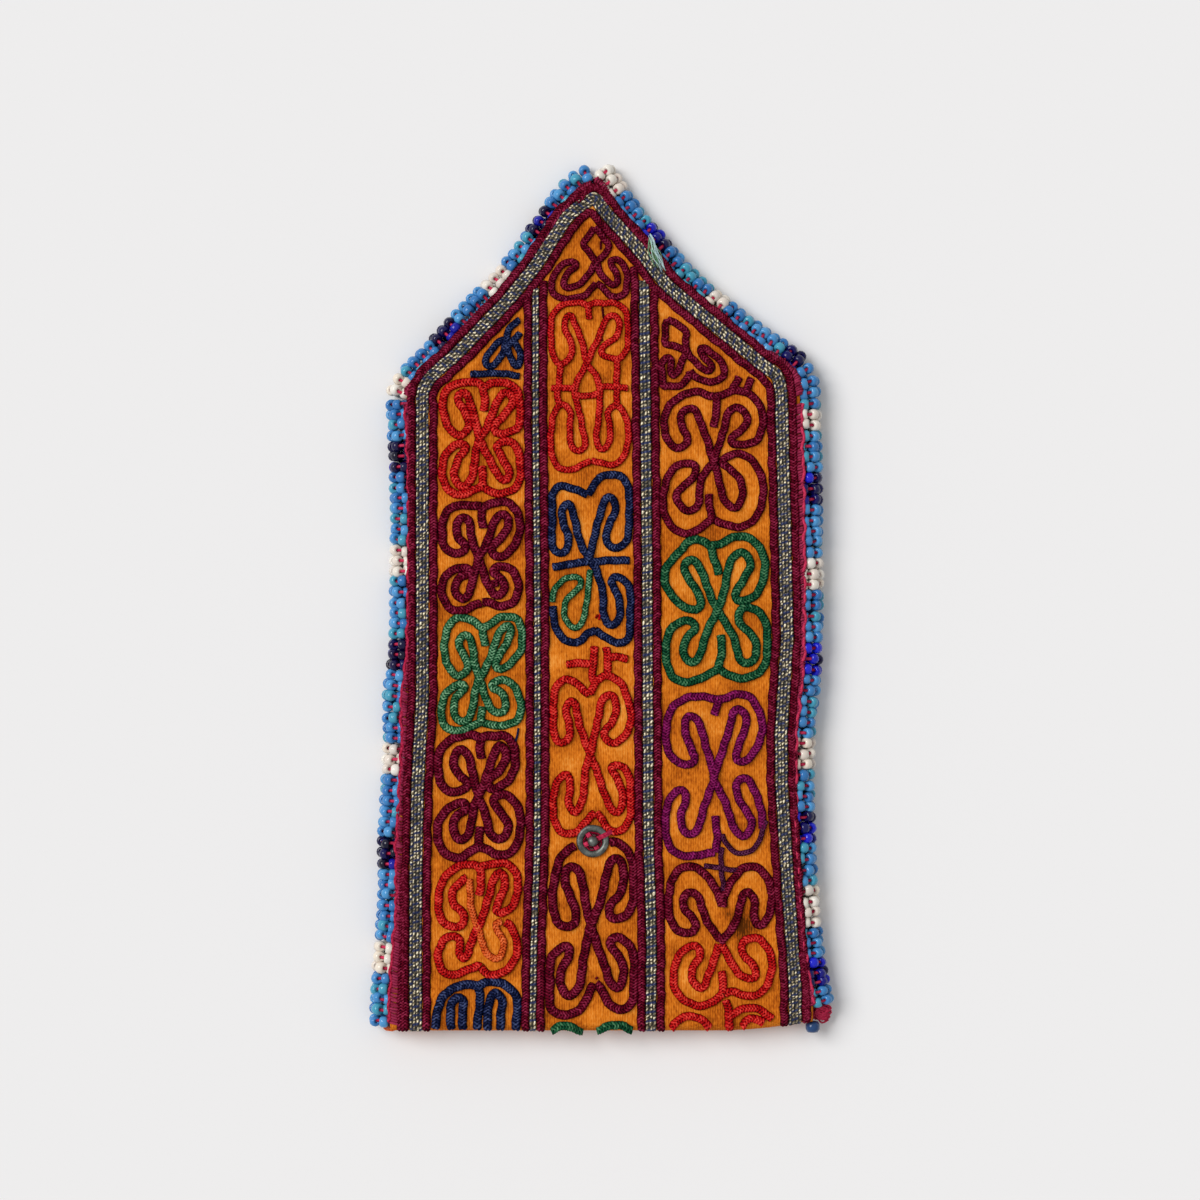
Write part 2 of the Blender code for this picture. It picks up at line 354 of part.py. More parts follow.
        [(3, -72), (8, -55), (10, -41), (8, -29)]]),
    ("right_motif_4", "right", 4, PURPLE, [
        [(8, 85), (-8, 86), (-25, 88), (-45, 88), (-62, 84), (-78, 76), (-88, 64), (-92, 50), (-91, 38),
         (-86, 26), (-76, 17), (-62, 13), (-48, 12), (-39, 17), (-42, 27), (-49, 38), (-55, 49), (-56, 60),
         (-48, 66), (-36, 64), (-27, 54), (-20, 43), (-15, 31), (-9, 18), (-3, 5), (1, -6), (10, -18),
         (20, -30), (28, -42), (34, -54), (42, -64), (55, -68), (67, -62), (70, -52), (64, -42), (53, -33),
         (44, -23), (41, -13), (48, -5), (60, -4), (72, -12), (82, -24), (88, -38), (91, -52), (91, -60)],
        [(9, 85), (22, 87), (38, 90), (55, 90), (70, 86), (82, 76), (89, 64), (90, 50), (86, 38), (78, 28),
         (66, 20), (52, 15), (42, 19), (43, 29), (50, 39), (57, 49), (61, 59), (56, 69), (46, 74), (36, 70),
         (31, 60), (28, 50), (22, 39), (15, 28), (9, 17), (3, 5), (-1, -6), (-9, -17), (-16, -29),
         (-22, -42), (-28, -54), (-37, -63), (-49, -66), (-60, -60), (-64, -50), (-61, -40), (-55, -31),
         (-54, -23), (-60, -18), (-71, -18), (-82, -24), (-90, -34), (-92, -48), (-92, -61), (-90, -73),
         (-82, -82), (-68, -88), (-50, -90), (-32, -90), (-16, -88), (0, -86)],
        [(7, 84), (3, 75), (-1, 67)],
        [(0, -86), (1, -72), (0, -58), (-2, -45)]]),
    ("right_motif_4_plum", "right", 4, PLUM, [
        [(90, -64), (84, -76), (70, -84), (50, -87), (32, -83), (21, -75), (19, -68)],
        [(19, -68), (17, -84), (16, -100), (16, -112), (17, -121)],
        [(-20, -102), (-4, -102), (16, -104), (28, -105), (40, -105)]]),
    ("right_motif_5", "right", 5, MAROON, [
        [(2, 38), (-2, 50), (-12, 65), (-28, 80), (-42, 89), (-58, 92), (-75, 86), (-87, 73), (-93, 55),
         (-93, 37), (-89, 20), (-80, 8), (-66, 3), (-52, 5), (-45, 14), (-53, 25), (-63, 34), (-68, 45),
         (-62, 55), (-50, 57), (-40, 49), (-34, 37), (-28, 25), (-20, 13), (-11, 3), (-3, -5)],
        [(2, 38), (8, 54), (16, 68), (27, 80), (38, 88), (52, 91), (68, 88), (80, 80), (88, 68), (90, 52),
         (89, 38), (85, 24), (76, 15), (65, 15), (60, 24), (60, 36), (58, 49), (49, 57), (39, 53), (35, 42),
         (32, 29), (26, 17), (16, 6), (6, -3), (-3, -7)]]),
    ("right_motif_5_red", "right", 5, RED, [
        [(10, -27), (26, -45), (38, -54), (50, -58), (61, -56), (63, -47), (55, -38), (44, -30), (37, -20),
         (42, -9), (54, -4), (68, -5), (80, -13), (88, -26), (91, -42), (88, -58), (80, -71), (66, -79),
         (50, -82), (34, -79), (20, -75), (6, -77)],
        [(-11, -29), (-16, -40), (-22, -54), (-29, -66), (-37, -70), (-46, -64), (-52, -54), (-51, -44),
         (-44, -35), (-37, -27), (-38, -18), (-47, -14), (-60, -17), (-74, -27), (-83, -42), (-85, -58),
         (-80, -73), (-68, -85), (-52, -92), (-36, -94), (-20, -90), (-6, -84), (4, -78)],
        [(4, -77), (4, -61), (1, -47)]]),
    ("right_motif_6_left", "right", 6, RED, [
        [(-88, -80), (-82, -40), (-73, 0), (-60, 28), (-45, 22), (-33, -15), (-26, -50), (-22, -75)]]),
    ("right_motif_6_right", "right", 6, RED, [
        [(10, -70), (11, -20), (15, 35), (28, 75), (42, 90), (56, 85), (68, 60), (78, 18), (86, -25)]])]


def clear_scene():
    """Remove every object that the file opened with."""
    for item in list(bpy.data.objects):
        bpy.data.objects.remove(item, do_unlink=True)


def new_collection(name):
    """A collection linked to the scene."""
    group = bpy.data.collections.new(name)
    bpy.context.scene.collection.children.link(group)
    return group


def linear(byte):
    """One sRGB byte as a linear value."""
    share = byte / 255
    return share / 12.92 if share <= 0.04045 else ((share + 0.055) / 1.055) ** 2.4


def paint(item, colour, roughness=0.9, metallic=0.0):
    """Give the object its own Principled material."""
    surface = bpy.data.materials.new(item.name)
    surface.use_nodes = True
    shader = surface.node_tree.nodes["Principled BSDF"]
    shader.inputs["Base Color"].default_value = (*(linear(byte) for byte in colour), 1)
    shader.inputs["Roughness"].default_value = roughness
    shader.inputs["Metallic"].default_value = metallic
    item.data.materials.clear()
    item.data.materials.append(surface)


def add_object(name, data, group):
    """An object of this name and data in the collection."""
    item = bpy.data.objects.new(name, data)
    group.objects.link(item)
    return item


def add_helper(name, data):
    """A hidden object that only shapes others."""
    item = add_object(name, data, HELPERS)
    item.hide_render = True
    item.display_type = "WIRE"
    return item


def plane_path(pairs):
    """Points in millimetres as plane vectors in metres."""
    return [Vector(pair) * MM for pair in pairs]


def offset_path(path, distance):
    """The path moved to its left by the distance, mitred at its corners."""
    moved = []
    for index, point in enumerate(path):
        before = point - path[max(index - 1, 0)]
        after = path[min(index + 1, len(path) - 1)] - point
        normals = [Vector((-step.y, step.x)).normalized() for step in (before, after) if step.length > 0]
        middle = sum(normals, Vector((0, 0))).normalized()
        moved.append(point + middle * distance / middle.dot(normals[0]))
    return moved


def across(path, y):
    """The path's x at this y, where y only grows along the path."""
    return float(np.interp(y, [point.y for point in path], [point.x for point in path]))


def cloth_edges(y):
    """Left and right x of the cloth at this y."""
    return across(LEFT_EDGE, y), across(RIGHT_EDGE, y)


def flat_height(x, y):
    """Height of the cover's face without the bottom fold: lower at the sides and to the tip."""
    left, right = cloth_edges(y)
    share = min(abs(2 * x - left - right) / (right - left), 1)
    drop = SIDE_DROP_RATE * (right - left) * max(0, (share - FLAT_SHARE) / (1 - FLAT_SHARE))
    fall = FLAP_FALL * max(0, (y - SHOULDER_Y) / (TIP_Y - SHOULDER_Y))
    return COVER_TOP - drop - fall


def cloth_top(x, y):
    """Height of the cover's face at a point, round where it turns into the bottom fold."""
    past = min(max(0, (FOLD_Y - y) / FOLD_DEPTH), 1)
    return flat_height(x, y) / 2 * (1 + math.sqrt(1 - past ** 2))


def sheet(name, rows, thickness, colour):
    """A cloth: an open grid through the rows of points, thickened away from its outer face."""
    columns = len(rows[0])
    points = [point for row in rows for point in row]
    faces = [(start, start + 1, start + columns + 1, start + columns)
             for row in range(len(rows) - 1) for start in range(row * columns, row * columns + columns - 1)]
    mesh = bpy.data.meshes.new(name)
    mesh.from_pydata(points, [], faces)
    item = add_object(name, mesh, WALLET)
    skin = item.modifiers.new("thickness", "SOLIDIFY")
    skin.thickness = thickness
    skin.offset = 1
    skin.use_even_offset = True
    paint(item, colour)
    return item


def flat_row(y, depth):
    """A row of points across the cloth at a depth under the cover's face."""
    left, right = cloth_edges(y)
    places = [(left + right) / 2 + share * (right - left) / 2 for share in ACROSS]
    return [(x, y, flat_height(x, y) - depth) for x in places]


def fold_rows(depth):
    """Rows round the bottom fold, an oval with its ends under the face and over the ground."""
    rows = []
    bulge = FOLD_DEPTH - (depth + 2 * LAYER_GAP if depth else 0)
    for step in range(1, FOLD_STEPS):
        turn = math.pi * step / FOLD_STEPS
        row = []
        for x, y, top in flat_row(FOLD_Y, 0):
            middle = top / 2
            reach = (middle - depth) * math.cos(turn)
            row.append((x, y - bulge * math.sin(turn), middle + reach))
        rows.append(row)
    return rows


def rear_row(y, height):
    """A level row of points across the rear of the pouch."""
    return [(x, y, height) for x, _, _ in flat_row(y, 0)]


def face_rows(depth):
    """Rows of the front, from the flap's tip to where the bottom fold starts."""
    places = [min(y * MM, TIP_Y) for y in FACE_ROWS] + [FOLD_Y]
    return [flat_row(y, depth) for y in places]


def make_cloths():
    """The cover round the fold, the lining inside it, and the plain back."""
    front = face_rows(0)
    rear = [rear_row(FOLD_Y, 0), rear_row(WRAP_END_Y, 0)]
    sheet("cover_cloth", front + fold_rows(0) + rear, COVER_THICKNESS, ORANGE)
    depth = COVER_THICKNESS + LAYER_GAP
    between = [y * MM for y in reversed(FACE_ROWS) if WRAP_END_Y < y * MM < MOUTH_Y]
    rear_places = [FOLD_Y] + between + [MOUTH_Y]
    rear = [rear_row(y, depth) for y in rear_places]
    sheet("lining_cloth", face_rows(depth) + fold_rows(depth) + rear, LINING_THICKNESS, LINING_BROWN)
    back_places = [WRAP_END_Y + LAYER_GAP + LINE_GAP] + rear_places[1:]
    sheet("back_cloth", [rear_row(y, 0) for y in back_places], BACK_THICKNESS, ORANGE)


def bead_section(half_height, swell):
    """Corners of a bead row, as distances outward and up from its axis."""
    return [(-BEAD_IN, -half_height * swell), (BEAD_SHOULDER * swell, -half_height * swell),
            (BEAD_OUT * swell, 0), (BEAD_SHOULDER * swell, half_height * swell),
            (-BEAD_IN, half_height * swell)]


def even_steps(path, pitch):
    """Points and directions along the path, a whole number of steps of about the pitch."""
    lengths = np.cumsum([0] + [(b - a).length for a, b in zip(path, path[1:])])
    count = round(lengths[-1] / pitch)
    places = np.linspace(0, lengths[-1], count + 1)
    xs = np.interp(places, lengths, [point.x for point in path])
    ys = np.interp(places, lengths, [point.y for point in path])
    directions = np.gradient(np.stack([xs, ys], axis=1), axis=0)
    return [(Vector((x, y)), Vector(way).normalized()) for x, y, way in zip(xs, ys, directions)]


def bead_edging(name, axis, side):
    """Rows of beads over an edge: a loft that swells at each row and narrows between rows."""
    rings = []
    for index, (place, way) in enumerate(even_steps(plane_path(axis), BEAD_PITCH / 2)):
        outward = Vector((way.y, -way.x)) * side
        share = min(max((place.y - SHOULDER_Y) / (TIP_Y - SHOULDER_Y), 0), 1)
        half_height = BEAD_HALF_HEIGHT + share * (TIP_HALF_HEIGHT - BEAD_HALF_HEIGHT)
        swell = 1 if index % 2 else BEAD_WAIST
        rings.append([(*(place + outward * out), half_height + up)
                      for out, up in bead_section(half_height, swell)])
    item = add_object(name, loft(name, rings), WALLET)
    paint(item, TURQUOISE, roughness=0.25)


def loft(name, rings):
    """A closed body through rings of points, with flat ends."""
    mesh = bpy.data.meshes.new(name)
    shape = bmesh.new()
    loops = [[shape.verts.new(point) for point in ring] for ring in rings]
    sides = len(rings[0])
    for first, second in zip(loops, loops[1:]):
        for corner in range(sides):
            after = (corner + 1) % sides
            shape.faces.new((first[corner], first[after], second[after], second[corner]))
    shape.faces.new(loops[0])
    shape.faces.new(reversed(loops[-1]))
    bmesh.ops.recalc_face_normals(shape, faces=shape.faces)
    shape.to_mesh(mesh)
    shape.free()
    return mesh


def profile(name, corners):
    """A closed section curve for the stitched lines."""
    data = bpy.data.curves.new(name, "CURVE")
    spline = data.splines.new("POLY")
    spline.points.add(len(corners) - 1)
    for point, (across_it, up) in zip(spline.points, corners):
        point.co = (across_it, up, 0, 1)
    spline.use_cyclic_u = True
    return add_helper(name, data)


def swept(name, points, section=None, radius=0.0, widths=None):
    """A closed mesh of a section, or of a round thread, carried along the points."""
    data = bpy.data.curves.new(name, "CURVE")
    data.dimensions = "3D"
    data.twist_mode = "Z_UP"
    data.use_fill_caps = True
    if section:
        data.bevel_mode = "OBJECT"
        data.bevel_object = section
    else:
        data.bevel_depth = radius
        data.bevel_resolution = 2
    spline = data.splines.new("POLY")
    spline.points.add(len(points) - 1)
    for index, point in enumerate(points):
        spline.points[index].co = (*point, 1)
        spline.points[index].radius = widths[index] if widths else 1
    carrier = add_helper(name + "_path", data)
    bpy.context.view_layer.update()
    mesh = bpy.data.meshes.new_from_object(carrier.evaluated_get(bpy.context.evaluated_depsgraph_get()))
    bpy.data.objects.remove(carrier, do_unlink=True)
    shape = bmesh.new()
    shape.from_mesh(mesh)
    bmesh.ops.remove_doubles(shape, verts=shape.verts, dist=MERGE)
    bmesh.ops.recalc_face_normals(shape, faces=shape.faces)
    shape.to_mesh(mesh)
    shape.free()
    return mesh


def split_at(path, heights):
    """The path with a point added wherever it crosses one of these y values."""
    full = [path[0]]
    for start, end in zip(path, path[1:]):
        low, high = sorted((start.y, end.y))
        crossed = sorted((y for y in heights if low < y < high), reverse=end.y < start.y)
        full += [start.lerp(end, (y - start.y) / (end.y - start.y)) for y in crossed] + [end]
    return full


def on_cloth(path, lift=STITCH_GAP):
    """The plane path laid over the cover's face, with a point at each bend of the cloth."""
    laid = []
    for point in split_at(path, BENDS):
        height = max(cloth_top(point.x, point.y), cloth_top(point.x, point.y + LINE_HALF_WIDTH))
        laid.append((point.x, point.y, height + lift))
    return laid


def united(name, meshes, colour, roughness=0.9, metallic=0.0):
    """One solid of the overlapping meshes, by Boolean union."""
    item = add_object(name, meshes[0], WALLET)
    for number, mesh in enumerate(meshes[1:], start=2):
        join = item.modifiers.new("union", "BOOLEAN")
        join.operation = "UNION"
        join.solver = "EXACT"
        join.use_self = True
        join.object = add_helper(f"{name}_strand_{number}", mesh)
    paint(item, colour, roughness, metallic)
    return item


def trimmed(path, top):
    """The upward path cut off at a height on the flap."""
    return [point for point in path if point.y < top] + [Vector((across(path, top), top))]


def band_section(name, half_width):
    """The bevelled section of a metal band."""
    inner = half_width - METAL_BEVEL
    return profile(name, [(-half_width, 0), (half_width, 0), (inner, METAL_HEIGHT), (-inner, METAL_HEIGHT)])


def make_lines():
    """The metal bands with the chain-stitched lines beside them."""
    line = profile("line_section", [(-LINE_HALF_WIDTH, 0), (LINE_HALF_WIDTH, 0), (0, LINE_HEIGHT)])
    outer = plane_path(OUTER_BAND)
    beside = OUTER_METAL_HALF + LINE_GAP + LINE_HALF_WIDTH
    section = band_section("outer_metal_section", OUTER_METAL_HALF)
    united("metal_band_outer", [swept("metal_band_outer", on_cloth(outer), section)], GILT, 0.4, 0.7)
    borders = (("maroon_border_outer", beside, EDGE_LIFT), ("maroon_border_inner", -beside, STITCH_GAP))
    for name, offset, lift in borders:
        united(name, [swept(name, on_cloth(offset_path(outer, offset), lift), line)], MAROON)
    dividers = (("left", LEFT_DIVIDER, LEFT_METAL_HALF, 1), ("right", RIGHT_DIVIDER, RIGHT_METAL_HALF, 3))
    for side, pairs, half_width, number in dividers:
        name = f"metal_band_{side}"
        centre = plane_path(pairs)
        section = band_section(f"{side}_metal_section", half_width)
        metal = on_cloth(trimmed(centre, LINE_TOPS[name] * MM))
        united(name, [swept(name, metal, section)], GILT, 0.4, 0.7)
        for step in (0, 1):
            name = f"maroon_line_{number + step}"
            offset = (half_width + LINE_GAP + LINE_HALF_WIDTH) * (1 - 2 * step)
            path = trimmed(offset_path(centre, offset), LINE_TOPS[name] * MM)
            united(name, [swept(name, on_cloth(path), line)], MAROON)


def band_at(part, y):
    """The outer band's x at this y, on its left or its right part."""
    return across(sorted(plane_path(OUTER_BAND[part]), key=lambda point: point.y), y)


def cell(column, row):
    """Left, right, bottom and top of a motif's cell between the lines."""
    rows = {"left": LEFT_ROWS, "middle": MIDDLE_ROWS, "right": RIGHT_ROWS}[column]
    top, bottom = rows[row - 1] * MM, rows[row] * MM
    y = (top + bottom) / 2
    margin = 2 * (LINE_GAP + LINE_HALF_WIDTH)
    left_divider = across(plane_path(LEFT_DIVIDER), y)
    right_divider = across(plane_path(RIGHT_DIVIDER), y)
    if column == "left":
        left = band_at(OUTER_BAND_LEFT, y) + OUTER_METAL_HALF + margin
        right = left_divider - LEFT_METAL_HALF - margin
    elif column == "middle":
        left = left_divider + LEFT_METAL_HALF + margin
        right = right_divider - RIGHT_METAL_HALF - margin
    else:
        left = right_divider + RIGHT_METAL_HALF + margin
        right = band_at(OUTER_BAND_RIGHT, y) - OUTER_METAL_HALF - margin
    return left, right, bottom, top


def thinned(path, tolerance):
    """The path without the points that lie within the tolerance of the line past them."""
    if len(path) < 3:
        return path
    start, end = path[0], path[-1]
    span = end - start
    if span.length > 0:
        misses = [abs(span.cross(point - start)) / span.length for point in path]
    else:
        misses = [(point - start).length for point in path]
    far = int(np.argmax(misses))
    if misses[far] <= tolerance:
        return [start, end]
    return thinned(path[:far + 1], tolerance)[:-1] + thinned(path[far:], tolerance)


def in_cell(stroke, bounds):
    """A traced stroke, in hundredths of the cell's half size, as a plane path."""
    left, right, bottom, top = bounds
    return [Vector(((left + right) / 2 + u / 100 * (right - left) / 2,
                    (bottom + top) / 2 + v / 100 * (top - bottom) / 2)) for u, v in stroke]


def make_motifs():
    """The chain-stitched motifs of the three columns."""
    strand = profile("strand_section", [(-STRAND_HALF_WIDTH, 0), (STRAND_HALF_WIDTH, 0), (0, STRAND_HEIGHT)])
    for name, column, row, colour, strokes in MOTIFS:
        bounds = cell(column, row)
        paths = [thinned(in_cell(stroke, bounds), STRAND_TOLERANCE) for stroke in strokes]
        layers = [STITCH_GAP + number * STRAND_STEP for number in range(len(paths))]
        united(name, [swept(name, on_cloth(path, lift), strand) for path, lift in zip(paths, layers)], colour)


def turned(name, outline, place):
    """A round piece: the outline of radii and heights turned about its axis."""
    mesh = bpy.data.meshes.new(name)
    points = [(radius, 0, height) for radius, height in outline]
    mesh.from_pydata(points, [(index, index + 1) for index in range(len(points) - 1)], [])
    item = add_object(name, mesh, WALLET)
    item.location = place
    lathe = item.modifiers.new("turn", "SCREW")
    lathe.steps = STUD_SIDES
    lathe.render_steps = STUD_SIDES
    lathe.use_merge_vertices = True
    lathe.merge_threshold = 10 * MERGE
    lathe.use_normal_flip = True
    return item


def ball_outline():
    """Radii and heights of the ball half: a plate with a raised rim, a neck and a ball."""
    centre = STUD_HEIGHT - STUD_BALL_RADIUS
    start = math.asin(STUD_NECK_RADIUS / STUD_BALL_RADIUS)
    turns = np.linspace(math.pi - start, 0, BALL_STEPS)
    ball = [(STUD_BALL_RADIUS * math.sin(turn), centre + STUD_BALL_RADIUS * math.cos(turn)) for turn in turns]
    ball[-1] = (0, STUD_HEIGHT)
    inner = STUD_RADIUS - STUD_RIM
    plate = [(0, 0), (STUD_RADIUS, 0), (STUD_RADIUS, STUD_RIM_HEIGHT), (inner, STUD_RIM_HEIGHT),
             (inner, STUD_PLATE), (STUD_NECK_RADIUS, STUD_PLATE)]
    return plate + [point for point in ball if point[1] > STUD_PLATE]


def pierce(item, place):
    """The sewing holes through a stud half."""
    for number in range(STUD_HOLES):
        turn = 2 * math.pi * (number + 0.5) / STUD_HOLES
        mesh = bpy.data.meshes.new(f"{item.name}_hole_{number}")
        shape = bmesh.new()
        bmesh.ops.create_cone(shape, cap_ends=True, segments=HOLE_SIDES, radius1=STUD_HOLE_RADIUS,
                              radius2=STUD_HOLE_RADIUS, depth=4 * STUD_HEIGHT)
        shape.to_mesh(mesh)
        shape.free()
        cutter = add_helper(mesh.name, mesh)
        cutter.location = (place[0] + STUD_HOLE_CIRCLE * math.cos(turn),
                           place[1] + STUD_HOLE_CIRCLE * math.sin(turn), place[2])
        cut = item.modifiers.new("hole", "BOOLEAN")
        cut.operation = "DIFFERENCE"
        cut.solver = "EXACT"
        cut.object = cutter


def lashing(name, place, ring_radius, end_reach, lift, way):
    """A thread that circles a stud's middle and leaves over its rim."""
    turns = np.radians(np.linspace(LASHING_START, LASHING_START + LASHING_TURN, LASHING_STEPS))
    ring = [(place[0] + ring_radius * math.cos(turn), place[1] + ring_radius * math.sin(turn), place[2])
            for turn in turns]
    last = turns[-1]
    tail = [(place[0] + reach * math.cos(last), place[1] + reach * math.sin(last), place[2] + way * lift)
            for reach in (STUD_RADIUS - STUD_RIM, end_reach)]
    mesh = swept(name, ring + tail, radius=THREAD_RADIUS)
    mesh.shade_smooth()
    paint(add_object(name, mesh, WALLET), CRIMSON)


def make_stud():
    """The ball half on the bottom third, and the socket half that meets it under the flap."""
    seat = (STUD_X, STUD_Y, cloth_top(STUD_X, STUD_Y) + STITCH_GAP)
    ball = turned("press_stud_ball_half", ball_outline(), seat)
    pierce(ball, seat)
    paint(ball, STEEL, 0.35, 1.0)
    thread_height = seat[2] + STUD_PLATE + STITCH_GAP + THREAD_RADIUS
    ring_radius = STUD_BALL_RADIUS + THREAD_RADIUS + STITCH_GAP
    lashing("press_stud_thread", (STUD_X, STUD_Y, thread_height), ring_radius, STUD_RADIUS + SOCKET_WALL,
            STUD_RIM_HEIGHT - STUD_PLATE, 1)
    socket_y = 2 * SHOULDER_Y - (2 * WAIST_Y - STUD_Y)
    under = COVER_THICKNESS + LAYER_GAP + LINING_THICKNESS + SEAT_GAP
    top = cloth_top(STUD_X, socket_y) - under
    hollow = SOCKET_BOSS_RADIUS - SOCKET_WALL
    outline = [(0, -SOCKET_WALL), (hollow, -SOCKET_WALL), (hollow, -SOCKET_HEIGHT),
               (SOCKET_BOSS_RADIUS, -SOCKET_HEIGHT), (SOCKET_BOSS_RADIUS, -SOCKET_WALL),
               (SOCKET_RADIUS, -SOCKET_WALL), (SOCKET_RADIUS, 0), (0, 0)]
    socket = turned("press_stud_socket_half", outline, (STUD_X, socket_y, top))
    paint(socket, STEEL, 0.35, 1.0)
    thread_top = top - SOCKET_WALL - STITCH_GAP - THREAD_RADIUS
    lashing("socket_thread", (STUD_X, socket_y, thread_top), SOCKET_BOSS_RADIUS + STITCH_GAP + THREAD_RADIUS,
            SOCKET_RADIUS, 0, -1)


def make_loose_ends():
    """The green thread tuft by the flap's edge and the crimson knot at the lower right corner."""
    points = on_cloth(plane_path(TUFT_POINTS), TUFT_LIFT)
    tuft = swept("thread_tuft", points, radius=TUFT_RADIUS, widths=TUFT_WIDTHS)
    tuft.shade_smooth()
    paint(add_object("thread_tuft", tuft, WALLET), PALE_GREEN)
    mesh = bpy.data.meshes.new("corner_knot")
    shape = bmesh.new()
    bmesh.ops.create_uvsphere(shape, u_segments=KNOT_SEGMENTS, v_segments=KNOT_RINGS, radius=1)
    bmesh.ops.scale(shape, vec=KNOT_RADII, verts=shape.verts)
    shape.to_mesh(mesh)
    shape.free()
    mesh.shade_smooth()
    knot = add_object("corner_knot", mesh, WALLET)
    knot.location = KNOT_CENTRE
    paint(knot, CRIMSON)


clear_scene()
WALLET = new_collection("wallet")
HELPERS = new_collection("helpers")
LEFT_EDGE = offset_path(plane_path(SIDE_AXIS_LEFT + FLAP_AXIS_LEFT), -(BEAD_IN + LAYER_GAP))
RIGHT_EDGE = offset_path(plane_path(SIDE_AXIS_RIGHT + FLAP_AXIS_RIGHT), BEAD_IN + LAYER_GAP)
make_cloths()
bead_edging("bead_edging_left", SIDE_AXIS_LEFT, -1)
bead_edging("bead_edging_right", SIDE_AXIS_RIGHT, 1)
bead_edging("bead_edging_flap_left", FLAP_AXIS_LEFT, -1)
bead_edging("bead_edging_flap_right", FLAP_AXIS_RIGHT, 1)
make_lines()
make_motifs()
make_stud()
make_loose_ends()
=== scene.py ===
"""The opened folk wallet as it looks: chain-stitched cotton, metal thread bands and glass seed beads.

The embroidered face lies up and the flap points to +Y. The solids give the places; this
script puts the cloth, the threads, the beads and the stud over them. Sizes and traced points
are millimetres, and each piece is made in metres. The camera's place is in metres too.
"""

import bpy
import numpy as np
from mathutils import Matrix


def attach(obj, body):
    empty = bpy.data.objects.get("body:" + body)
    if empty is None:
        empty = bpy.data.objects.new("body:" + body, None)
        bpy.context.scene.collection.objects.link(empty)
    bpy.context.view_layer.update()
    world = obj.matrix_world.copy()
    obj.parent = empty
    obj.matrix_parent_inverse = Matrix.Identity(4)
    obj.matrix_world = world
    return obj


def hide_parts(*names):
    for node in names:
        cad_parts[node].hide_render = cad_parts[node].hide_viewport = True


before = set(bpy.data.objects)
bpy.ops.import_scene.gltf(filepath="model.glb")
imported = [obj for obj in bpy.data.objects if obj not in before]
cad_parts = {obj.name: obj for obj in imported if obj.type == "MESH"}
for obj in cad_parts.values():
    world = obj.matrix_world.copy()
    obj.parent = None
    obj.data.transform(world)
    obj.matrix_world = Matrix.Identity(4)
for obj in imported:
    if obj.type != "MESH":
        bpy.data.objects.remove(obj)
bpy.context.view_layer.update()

MM = 0.001
RANDOM = np.random.default_rng(7)

# Cloth layers and the fold, as in the solids
COVER_TOP = 6.9
COVER_THICKNESS = 0.6
LINING_THICKNESS = 0.4
LAYER_GAP = 0.2
SIDE_DROP_RATE = 0.006
FLAT_SHARE = 0.86
SHOULDER_Y = 44.0
TIP_Y = 85.2
FLAP_FALL = 1.7
FOLD_Y = -88.4
FOLD_DEPTH = 2.0
WRAP_END_Y = -80.0
MOUTH_Y = 38.0
PUCKER = 0.2
CLOTH_SHINE = 0.03
COVER_COLUMNS = 110
COVER_SPACING = 0.8
LINING_COLUMNS = 30
LINING_SPACING = 2.5
LINING_REAR_SPACING = 4
BACK_COLUMNS = 40
BACK_SPACING = 3
CORNER_PULL = 1.7

# Bead edgings
BEAD_PITCH = 2.2
BEAD_RADIUS = 1.18
BEAD_LENGTH = 1.8
BEAD_HOLE = 0.36
BEAD_CIRCLE = 2.35
BEAD_TURNS = (-126, -70, -14, 42, 98)
BEAD_HALF_HEIGHT = 3.2
TIP_HALF_HEIGHT = 2.4
BEAD_IN = 1.0
BEAD_SIDES = 12
STRINGING_RADIUS = 0.34
EDGE_THREAD_RADIUS = 0.34
EDGE_STEP = 0.3
WRAP_RADIUS = 0.3
WRAP_PITCH = 0.58
CORNER_BEAD = (44.2, -91.3, 3.9)
SIDE_AXIS_LEFT = [(-45.1, -88.2), (-44.4, -76), (-43.4, -63.5), (-43.4, -51), (-42.2, -30), (-42.4, -21.5),
                  (-41.1, -9), (-40.8, 20.5), (-41.5, 40.4)]
SIDE_AXIS_RIGHT = [(45.3, -85.4), (43.6, -76), (42.4, -63.5), (41.6, -51), (41.4, -30), (42.2, -21.5),
                   (43.1, -9), (43.0, 20.5), (42.6, 40.4)]
FLAP_AXIS_LEFT = [(-41.5, 42.6), (-41.2, 43.8), (-39.6, 45.8), (-33.8, 51.8), (-27, 59.2), (-21, 65.2),
                  (-16.9, 70), (-13.3, 75), (-9.8, 80), (-6.6, 84.3), (-4.4, 86.4), (-2.6, 87.4)]
FLAP_AXIS_RIGHT = [(42.6, 42.6), (42.5, 44), (41.6, 46.8), (39.4, 49.2), (32, 54.4), (25.4, 59.4),
                   (19.6, 64.2), (14.8, 69.2), (10.4, 74.3), (6.2, 79.3), (3.0, 83.8), (1.0, 86.8),
                   (0.0, 88.2)]
